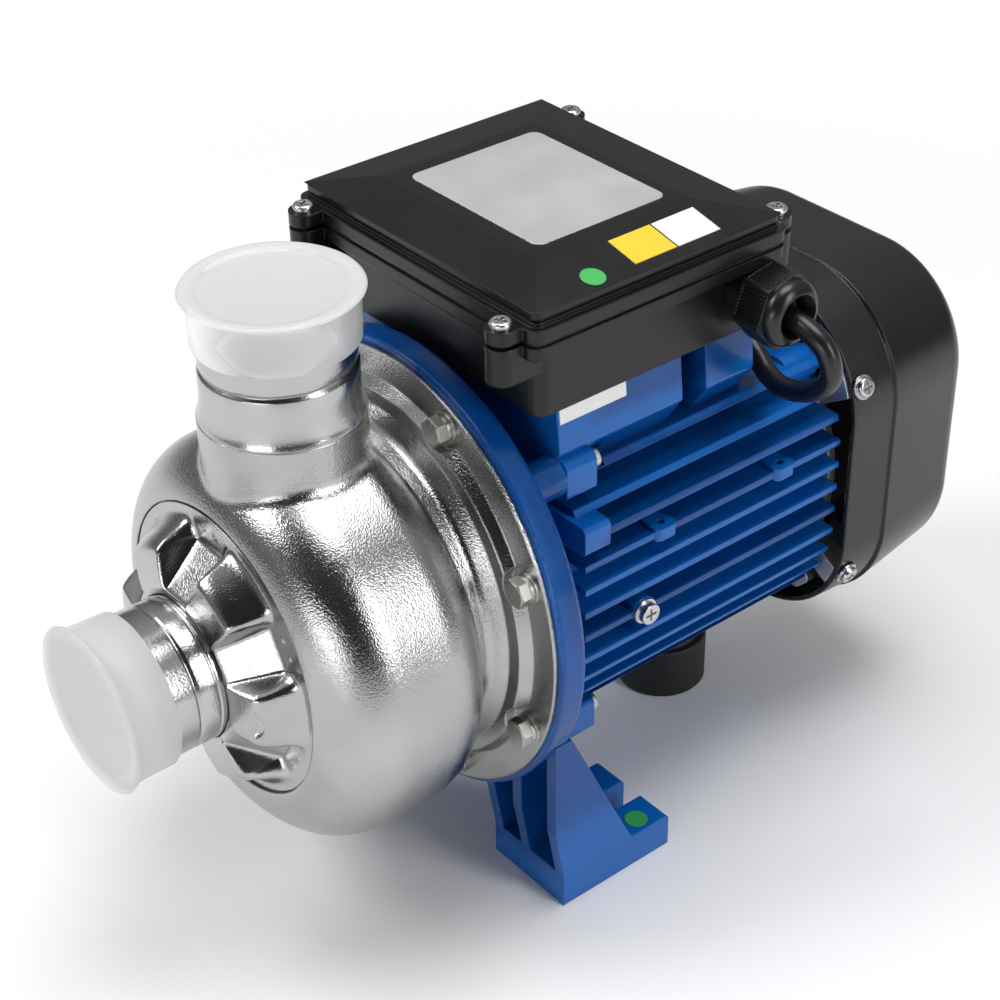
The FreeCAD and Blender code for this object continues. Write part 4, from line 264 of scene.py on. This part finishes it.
def dress_nodes():
    """Each CAD node takes the finish of its material slot."""
    for part in frame["record"]["subparts"]:
        mesh = nodes[part["node"]].data
        mesh.materials.clear()
        mesh.materials.append(FINISH[part["material_slot"]])


# Cable: route points repeated from the part's source, then the turns of the coil and its end

CABLE_ROUTE = [
    (0.057, 0.1134, 0.2245),
    (0.096, 0.1134, 0.2245),
    (0.105, 0.117, 0.207),
    (0.091, 0.1215, 0.191),
    (0.066, 0.126, 0.181),
    (0.046, 0.132, 0.192),
    (0.022, 0.139, 0.192),
    (-0.020, 0.143, 0.192),
    (-0.068, 0.145, 0.190),
    (-0.096, 0.146, 0.150),
    (-0.100, 0.146, 0.080),
    (-0.104, 0.147, 0.030),
    (-0.118, 0.157, 0.0043),
]
TAIL_ROUTE = [
    (-0.1625, 0.1679, 0.01245),
    (-0.1775, 0.1733, 0.0195),
    (-0.1925, 0.1788, 0.0195),
]
COIL_CENTRE = Vector((-0.141, 0.215, 0))
COIL_RADIUS = 0.0475
COIL_TURNS = 4
COIL_START = math.radians(-110)
COIL_LIFT = 0.00015
LANE_CHANGE = 0.2  # share of a turn in which the cable crosses to the next lane
TURN_POINTS = 16


def coil_points():
    """Four turns: two side by side on the floor, and two on top of them."""
    half = CABLE_DIAMETER / 2
    lanes = [(COIL_RADIUS + half, half), (COIL_RADIUS - half, half),
             (COIL_RADIUS - half, 3 * half), (COIL_RADIUS + half, 3 * half)]
    points = []
    for i in range(COIL_TURNS * TURN_POINTS + 1):
        turn = i / TURN_POINTS
        lane = min(int(turn), COIL_TURNS - 1)
        part = turn - lane
        change = max(0.0, (part - (1 - LANE_CHANGE)) / LANE_CHANGE) if lane < COIL_TURNS - 1 else 0.0
        radius, height = lanes[lane]
        next_radius, next_height = lanes[min(lane + 1, COIL_TURNS - 1)]
        radius += (next_radius - radius) * change
        height += (next_height - height) * change
        angle = COIL_START - 2 * math.pi * turn
        points.append(COIL_CENTRE + Vector((radius * math.cos(angle), radius * math.sin(angle),
                                            height + COIL_LIFT)))
    return points


def cable_curve():
    """Cable from the gland down to the floor, round the coil and on to the plug."""
    route = [Vector(point) for point in CABLE_ROUTE]
    tail = [Vector(point) for point in TAIL_ROUTE]
    points = route + coil_points() + tail
    curve = bpy.data.curves.new("mains_cable", "CURVE")
    curve.dimensions = "3D"
    curve.bevel_depth = CABLE_DIAMETER / 2
    curve.bevel_resolution = 6
    curve.resolution_u = 10
    curve.use_fill_caps = True
    spline = curve.splines.new("NURBS")
    spline.points.add(len(points) - 1)
    for knot, point in zip(spline.points, points):
        knot.co = (*point, 1)
    spline.order_u = 3
    spline.use_endpoint_u = True
    cable = bpy.data.objects.new("mains_cable", curve)
    bpy.context.scene.collection.objects.link(cable)
    curve.materials.append(CABLE_BLACK)
    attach(cable, "pump")
    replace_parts(cable, "power_cable", "cable_coil", "cable_tail")
    return cable


def spline_length(cable):
    """Length of the cable's line, measured on the curve without its bevel."""
    bare = cable.data.copy()
    bare.bevel_depth = 0
    line = bpy.data.objects.new("cable_line", bare)
    mesh = bpy.data.meshes.new_from_object(line)
    total = sum((mesh.vertices[edge.vertices[0]].co - mesh.vertices[edge.vertices[1]].co).length
                for edge in mesh.edges)
    bpy.data.objects.remove(line)
    bpy.data.curves.remove(bare)
    bpy.data.meshes.remove(mesh)
    return total


# Pressed star plate: six pillows, six ramps with a welded pad, a flat rim. Sizes here in millimetres

VALLEYS = 6
PLATE_INNER, PLATE_RIM = 27.95, 56.5
PLATE_TOP, PLATE_LOW = 99.3, 82.3
PILLOW_EDGE, PILLOW_FOOT = 43.5, 54.4
RAMP_START, RAMP_END = 29.6, 44.8
PAD_CENTRE, DIMPLE_SIDE, DIMPLE_RADIUS, DIMPLE_RISE = 50.6, 3.6, 1.7, 0.8
DROP_PLACE, DROP_WIDTH, DROP_LENGTH, DROP_DEPTH = 43.4, 2.3, 5.8, 1.6
PLATE_SHEET = 1.1
PLATE_RINGS, PLATE_STEPS = 64, 432
CROWN_RADIUS, CROWN_LENGTH, CROWN_FALL = 31, 13, 2.4
CROWN_FOOT, CROWN_FOOT_FALL = 3, 1.2
PILLOW_CORNER, RAMP_CORNER, WALL_CORNER, DROP_CORNER = 0.42, 0.09, 0.47, 0.15
RAMP_DROP = 0.9
RAMP_HALF, RAMP_FLARE, PAD_FLARE = 5.6, 0.12, 0.22
WALL_TOP, WALL_GROWTH = 1.8, 5.2
DROP_COSINE, DROP_SHIFT, DROP_TAPER, DROP_EDGE, DROP_FADE, DROP_TIP = 0.8, 0.5, 0.75, 1.1, 0.35, 0.2


def soft_step(value, corner):
    """Ramp from 0 to 1 with its two corners rounded over the share corner."""
    value = min(1.0, max(0.0, value))
    bend = 2 * corner * (1 - corner)
    if value < corner:
        return value * value / bend
    if value > 1 - corner:
        return 1 - (1 - value) ** 2 / bend
    return (value - corner / 2) / (1 - corner)


def star_height(radius, turn):
    """Height of the plate's face over the shaft's zero plane, by radius and angle."""
    pitch = 2 * math.pi / VALLEYS
    off = (turn - math.pi / 2 + pitch / 2) % pitch - pitch / 2
    side, along = abs(radius * math.sin(off)), radius * math.cos(off)
    crown = (PLATE_TOP - CROWN_FALL * max(0.0, (radius - CROWN_RADIUS) / CROWN_LENGTH) ** 1.5
             - CROWN_FOOT_FALL * max(0.0, (CROWN_RADIUS - radius) / CROWN_FOOT))
    edge = soft_step((radius - PILLOW_EDGE) / (PILLOW_FOOT - PILLOW_EDGE), PILLOW_CORNER)
    pillow = crown + (PLATE_LOW - crown) * edge
    fall = soft_step((along - RAMP_START) / (RAMP_END - RAMP_START), RAMP_CORNER)
    ramp = PLATE_TOP - RAMP_DROP + (PLATE_LOW - PLATE_TOP + RAMP_DROP) * fall
    half = RAMP_HALF + RAMP_FLARE * (along - RAMP_START) + PAD_FLARE * max(0.0, along - RAMP_END)
    wall = soft_step((side - half) / (WALL_TOP + WALL_GROWTH * fall), WALL_CORNER)
    height = ramp + (pillow - ramp) * wall
    dimple = math.hypot(side - DIMPLE_SIDE, along - PAD_CENTRE) / DIMPLE_RADIUS
    if dimple < 1:
        height += DIMPLE_RISE * (1 - dimple * dimple) ** 2
    if math.cos(turn) > DROP_COSINE:
        tangent = radius * math.sin(turn) + DROP_SHIFT
        width = DROP_WIDTH * (1 - DROP_TAPER * max(0.0, tangent / DROP_LENGTH))
        drop = math.hypot((radius - DROP_PLACE) / max(width, DROP_TIP), tangent / DROP_LENGTH)
        height -= DROP_DEPTH * soft_step((DROP_EDGE - drop) / DROP_FADE, DROP_CORNER)
    return height


def mesh_piece(name, corners, faces, material, body="pump"):
    """Mesh object with smooth faces and sharp creases, on a body."""
    mesh = bpy.data.meshes.new(name)
    mesh.from_pydata(corners, [], faces)
    mesh.materials.append(material)
    mesh.shade_smooth()
    mesh.set_sharp_from_angle(angle=CREASE_ANGLE)
    item = bpy.data.objects.new(name, mesh)
    bpy.context.scene.collection.objects.link(item)
    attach(item, body)
    return item


def star_plate():
    """Sheet between the plate's face and the same face one sheet further in, closed at both edges."""
    rings, steps = PLATE_RINGS, PLATE_STEPS
    corners = []
    for sheet in (0.0, PLATE_SHEET):
        for i in range(rings + 1):
            radius = PLATE_INNER + (PLATE_RIM - PLATE_INNER) * i / rings
            for j in range(steps):
                turn = 2 * math.pi * j / steps
                height = star_height(radius, turn) - sheet
                corners.append((radius * math.cos(turn) / MILLIMETRES, -height / MILLIMETRES,
                                AXIS_HEIGHT + radius * math.sin(turn) / MILLIMETRES))
    back = (rings + 1) * steps
    faces = []
    for i in range(rings):
        for j in range(steps):
            here, there = i * steps + j, i * steps + (j + 1) % steps
            faces.append((here, here + steps, there + steps, there))
            faces.append((back + here, back + there, back + there + steps, back + here + steps))
    last = rings * steps
    for j in range(steps):
        here, there = j, (j + 1) % steps
        faces.append((here, there, back + there, back + here))
        faces.append((last + there, last + here, back + last + here, back + last + there))
    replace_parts(mesh_piece("star_plate", corners, faces, STAR_STEEL), "suction_plate")


# Nozzles: a tube with one rolled groove, and for the discharge a foot that runs out into the neck.
# Their sizes are in millimetres from the shaft axis or, for the suction side, from the flange plane

LATHE_STEPS = 144
TUBE_RADIUS, THREAD_RADIUS, PIPE_RADIUS, THREAD_END = 27.6, 22.6, 21, 20


def lathe(name, profile, place, upright, node, material, body="pump"):
    """Closed ring turned from a profile of radius and distance in millimetres, upright or facing -Y."""
    corners, faces = [], []
    for j in range(LATHE_STEPS):
        turn = 2 * math.pi * j / LATHE_STEPS
        for radius, along in profile:
            across, up = radius * math.cos(turn) / MILLIMETRES, radius * math.sin(turn) / MILLIMETRES
            reach = along / MILLIMETRES
            corner = Vector((across, up, reach)) if upright else Vector((up, -reach, across))
            corners.append(Vector(place) + corner)
    count = len(profile)
    for j in range(LATHE_STEPS):
        here, there = j * count, (j + 1) % LATHE_STEPS * count
        for i in range(count):
            after = (i + 1) % count
            faces.append((here + i, there + i, there + after, here + after))
    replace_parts(mesh_piece(name, corners, faces, material, body), node)


def on_shaft(low, high):
    """Place and reach, in millimetres, of a suction piece that lies on the shaft axis, by its box."""
    return (0, 0, AXIS_HEIGHT), -high[1] * MILLIMETRES, -low[1] * MILLIMETRES


def over_shaft(low, high):
    """Place and reach, in millimetres, of a discharge piece that stands over the shaft axis, by its box."""
    place = ((low[0] + high[0]) / 2, (low[1] + high[1]) / 2, AXIS_HEIGHT)
    return place, (low[2] - AXIS_HEIGHT) * MILLIMETRES, (high[2] - AXIS_HEIGHT) * MILLIMETRES


def mouth_profile(mouth):
    """The chamfered mouth with its threaded bore, which both nozzles share."""
    return [
        (TUBE_RADIUS, mouth - 1), (TUBE_RADIUS - 1, mouth), (THREAD_RADIUS + 1.5, mouth),
        (THREAD_RADIUS, mouth - 1.5), (THREAD_RADIUS, mouth - THREAD_END), (PIPE_RADIUS, mouth - THREAD_END),
    ]


def nozzle_tubes():
    place, foot, mouth = on_shaft(*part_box("suction_nozzle"))
    lathe("suction_tube", [
        (PIPE_RADIUS, foot), (TUBE_RADIUS, foot), (TUBE_RADIUS, 99.9), (27.25, 100.3), (27.25, 100.8),
        (TUBE_RADIUS, 101.2), (TUBE_RADIUS, 107.3), (27.5, 107.7), (27.0, 108.2), (26.9, 108.8),
        (27.1, 109.2), (27.55, 109.5), (TUBE_RADIUS, 109.8),
    ] + mouth_profile(mouth), place, False, "suction_nozzle", TURNED)
    place, foot, mouth = over_shaft(*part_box("discharge_nozzle"))
    lathe("discharge_tube", [
        (PIPE_RADIUS, foot), (TUBE_RADIUS, foot), (TUBE_RADIUS, 88.05), (29.7, 88.05), (29.65, 88.5),
        (29.2, 89.6), (28.7, 91.5), (28.2, 95), (27.95, 100), (27.9, 106.2), (27.75, 106.7), (27.2, 107.2),
        (26.9, 107.7), (27.0, 108.3), (27.35, 108.7), (27.5, 109.2), (TUBE_RADIUS, 112),
    ] + mouth_profile(mouth), place, True, "discharge_nozzle", TURNED)


def cap_profile(top):
    """Thin cap: a disc a little below its rounded rim, and a skirt that narrows to its open end."""
    return [
        (0.01, top - 1.0), (24.6, top - 1.0), (25.8, top - 0.8), (26.8, top - 0.15), (30.4, top),
        (31.4, top - 0.2), (31.9, top - 0.8), (31.6, top - 1.5), (30.4, top - 1.9), (29.95, top - 2.8),
        (29.6, top - 10), (29.45, top - 19.2), (29.2, top - 19.5), (28.0, top - 19.5), (27.85, top - 19.2),
        (27.85, top - 2.3), (0.01, top - 2.3),
    ]


def transport_caps():
    place, _, top = on_shaft(*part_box("suction_cap"))
    lathe("suction_cap_skin", cap_profile(top), place, False, "suction_cap", CAP_WHITE,
          "suction_cap_body")
    place, _, top = over_shaft(*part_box("discharge_cap"))
    lathe("discharge_cap_skin", cap_profile(top), place, True, "discharge_cap", CAP_WHITE,
          "discharge_cap_body")


# Camera at the photograph's angle, soft studio lights and a pale floor

FOCAL_PIXELS = 2130.31
IMAGE_SIZE = 1000
SENSOR_WIDTH = 36
CAMERA_PLACE = Vector((0.5368, -0.3810, 0.5960))
CAMERA_TURN = math.radians(51.03)
CAMERA_RISE = math.radians(34.06)
CAMERA_ROLL = math.radians(-0.85)
PRINCIPAL_POINT = (513.09, 496.56)
LIGHT_AIM = (0, 0.05, 0.13)
AMBIENT = 0.65
SKY_LEVELS = ((0.46, 0.06), (0.56, 0.32), (0.75, 0.5))
DARK_SIDE = (0.6, -0.45, 0.66)  # direction of a dark patch that the steel mirrors
DARK_START, DARK_FULL = 0.55, 0.86
FLOOR_REACH, FLOOR_DROP = 6, 0.0002
CLEAR_FLOOR, WHITE_FLOOR = 0.34, 0.75  # distances between which the floor fades to white


def camera():
    """Camera that sees the pump as the photograph does."""
    data = bpy.data.cameras.new("camera")
    data.sensor_width = SENSOR_WIDTH
    data.lens = data.sensor_width * FOCAL_PIXELS / IMAGE_SIZE
    data.shift_x = (IMAGE_SIZE / 2 - PRINCIPAL_POINT[0]) / IMAGE_SIZE
    data.shift_y = (PRINCIPAL_POINT[1] - IMAGE_SIZE / 2) / IMAGE_SIZE
    right = Vector((math.cos(CAMERA_TURN), math.sin(CAMERA_TURN), 0))
    up = Vector((-math.sin(CAMERA_TURN) * math.sin(CAMERA_RISE),
                 math.cos(CAMERA_TURN) * math.sin(CAMERA_RISE), math.cos(CAMERA_RISE)))
    back = right.cross(up)
    x_axis = right * math.cos(CAMERA_ROLL) + up * math.sin(CAMERA_ROLL)
    y_axis = up * math.cos(CAMERA_ROLL) - right * math.sin(CAMERA_ROLL)
    item = bpy.data.objects.new("camera", data)
    axes = Matrix((x_axis, y_axis, back)).transposed().to_4x4()
    item.matrix_world = Matrix.Translation(CAMERA_PLACE) @ axes
    bpy.context.scene.collection.objects.link(item)
    bpy.context.scene.camera = item


def area_light(name, place, size, power):
    """Rectangular light that faces the middle of the pump."""
    data = bpy.data.lights.new(name, "AREA")
    data.shape = "RECTANGLE"
    data.size, data.size_y = size
    data.energy = power
    item = bpy.data.objects.new(name, data)
    item.location = place
    item.rotation_euler = (Vector(LIGHT_AIM) - Vector(place)).to_track_quat("-Z", "Y").to_euler()
    bpy.context.scene.collection.objects.link(item)


def lights():
    area_light("key_light", (-0.9, -1.2, 1.6), (0.9, 0.7), 22)
    area_light("side_light", (1.7, 0.5, 0.9), (0.5, 1.3), 14)
    area_light("top_light", (0.1, 0.3, 1.9), (1.1, 1.1), 20)
    area_light("low_light", (0.7, -1.5, 0.35), (0.9, 0.35), 5)


def surroundings():
    """White to the camera. To all else dark below, brighter above, with a dark patch on one side."""
    world = bpy.data.worlds.new("studio")
    bpy.context.scene.world = world
    world.use_nodes = True
    tree = world.node_tree
    tree.nodes.clear()
    output = tree.nodes.new("ShaderNodeOutputWorld")
    place = tree.nodes.new("ShaderNodeTexCoord")
    split = tree.nodes.new("ShaderNodeSeparateXYZ")
    tree.links.new(place.outputs["Generated"], split.inputs["Vector"])
    ramp = tree.nodes.new("ShaderNodeValToRGB")
    ramp.color_ramp.elements[0].position = 0.0
    ramp.color_ramp.elements[0].color = (0.03, 0.03, 0.035, 1)
    ramp.color_ramp.elements[1].position = 1.0
    ramp.color_ramp.elements[1].color = (0.9, 0.9, 0.92, 1)
    for position, level in SKY_LEVELS:
        stop = ramp.color_ramp.elements.new(position)
        stop.color = (level, level, level * 1.03, 1)
    rise = tree.nodes.new("ShaderNodeMapRange")
    rise.inputs["From Min"].default_value = -1
    rise.inputs["From Max"].default_value = 1
    tree.links.new(split.outputs["Z"], rise.inputs["Value"])
    tree.links.new(rise.outputs["Result"], ramp.inputs["Fac"])
    toward = tree.nodes.new("ShaderNodeVectorMath")
    toward.operation = "DOT_PRODUCT"
    toward.inputs[1].default_value = DARK_SIDE
    tree.links.new(place.outputs["Generated"], toward.inputs[0])
    shade = spread(tree, toward.outputs["Value"], 1.0, 0.04, DARK_START, DARK_FULL)
    ambient = tree.nodes.new("ShaderNodeBackground")
    ambient.inputs["Strength"].default_value = AMBIENT
    tree.links.new(blend_colors(tree, shade, (0.02, 0.02, 0.022), ramp.outputs["Color"]),
                   ambient.inputs["Color"])
    white = tree.nodes.new("ShaderNodeBackground")
    white.inputs["Color"].default_value = (1, 1, 1, 1)
    path = tree.nodes.new("ShaderNodeLightPath")
    pick = tree.nodes.new("ShaderNodeMixShader")
    tree.links.new(path.outputs["Is Camera Ray"], pick.inputs["Fac"])
    tree.links.new(ambient.outputs["Background"], pick.inputs[1])
    tree.links.new(white.outputs["Background"], pick.inputs[2])
    tree.links.new(pick.outputs["Shader"], output.inputs["Surface"])


def floor():
    """Pale floor that fades to white away from the pump, for the camera alone."""
    mesh = bpy.data.meshes.new("floor")
    reach = FLOOR_REACH
    mesh.from_pydata([(-reach, -reach, 0), (reach, -reach, 0), (reach, reach, 0), (-reach, reach, 0)], [],
                     [(0, 1, 2, 3)])
    item = bpy.data.objects.new("floor", mesh)
    item.location.z = -FLOOR_DROP
    bpy.context.scene.collection.objects.link(item)
    material, tree, shader, place = new_material("floor_white", (0.9, 0.9, 0.9), 0.7)
    faint = noise(tree, place, 3, 2)
    tree.links.new(blend_colors(tree, faint, (0.89, 0.89, 0.895), (0.91, 0.91, 0.91)),
                   shader.inputs["Base Color"])
    apart = tree.nodes.new("ShaderNodeVectorMath")
    apart.operation = "LENGTH"
    tree.links.new(place, apart.inputs[0])
    path = tree.nodes.new("ShaderNodeLightPath")
    seen = tree.nodes.new("ShaderNodeMath")
    seen.operation = "MULTIPLY"
    tree.links.new(spread(tree, apart.outputs["Value"], 0, 1, CLEAR_FLOOR, WHITE_FLOOR), seen.inputs[0])
    tree.links.new(path.outputs["Is Camera Ray"], seen.inputs[1])
    white = tree.nodes.new("ShaderNodeEmission")
    white.inputs["Color"].default_value = (1, 1, 1, 1)
    fade = tree.nodes.new("ShaderNodeMixShader")
    tree.links.new(seen.outputs["Value"], fade.inputs["Fac"])
    tree.links.new(shader.outputs["BSDF"], fade.inputs[1])
    tree.links.new(white.outputs["Emission"], fade.inputs[2])
    tree.links.new(fade.outputs["Shader"], tree.nodes["Material Output"].inputs["Surface"])
    mesh.materials.append(material)


dress_nodes()
star_plate()
nozzle_tubes()
transport_caps()
mains_cable = cable_curve()
cable_length = spline_length(mains_cable)
camera()
lights()
surroundings()
floor()

scene = bpy.context.scene
scene.view_settings.view_transform = "Standard"
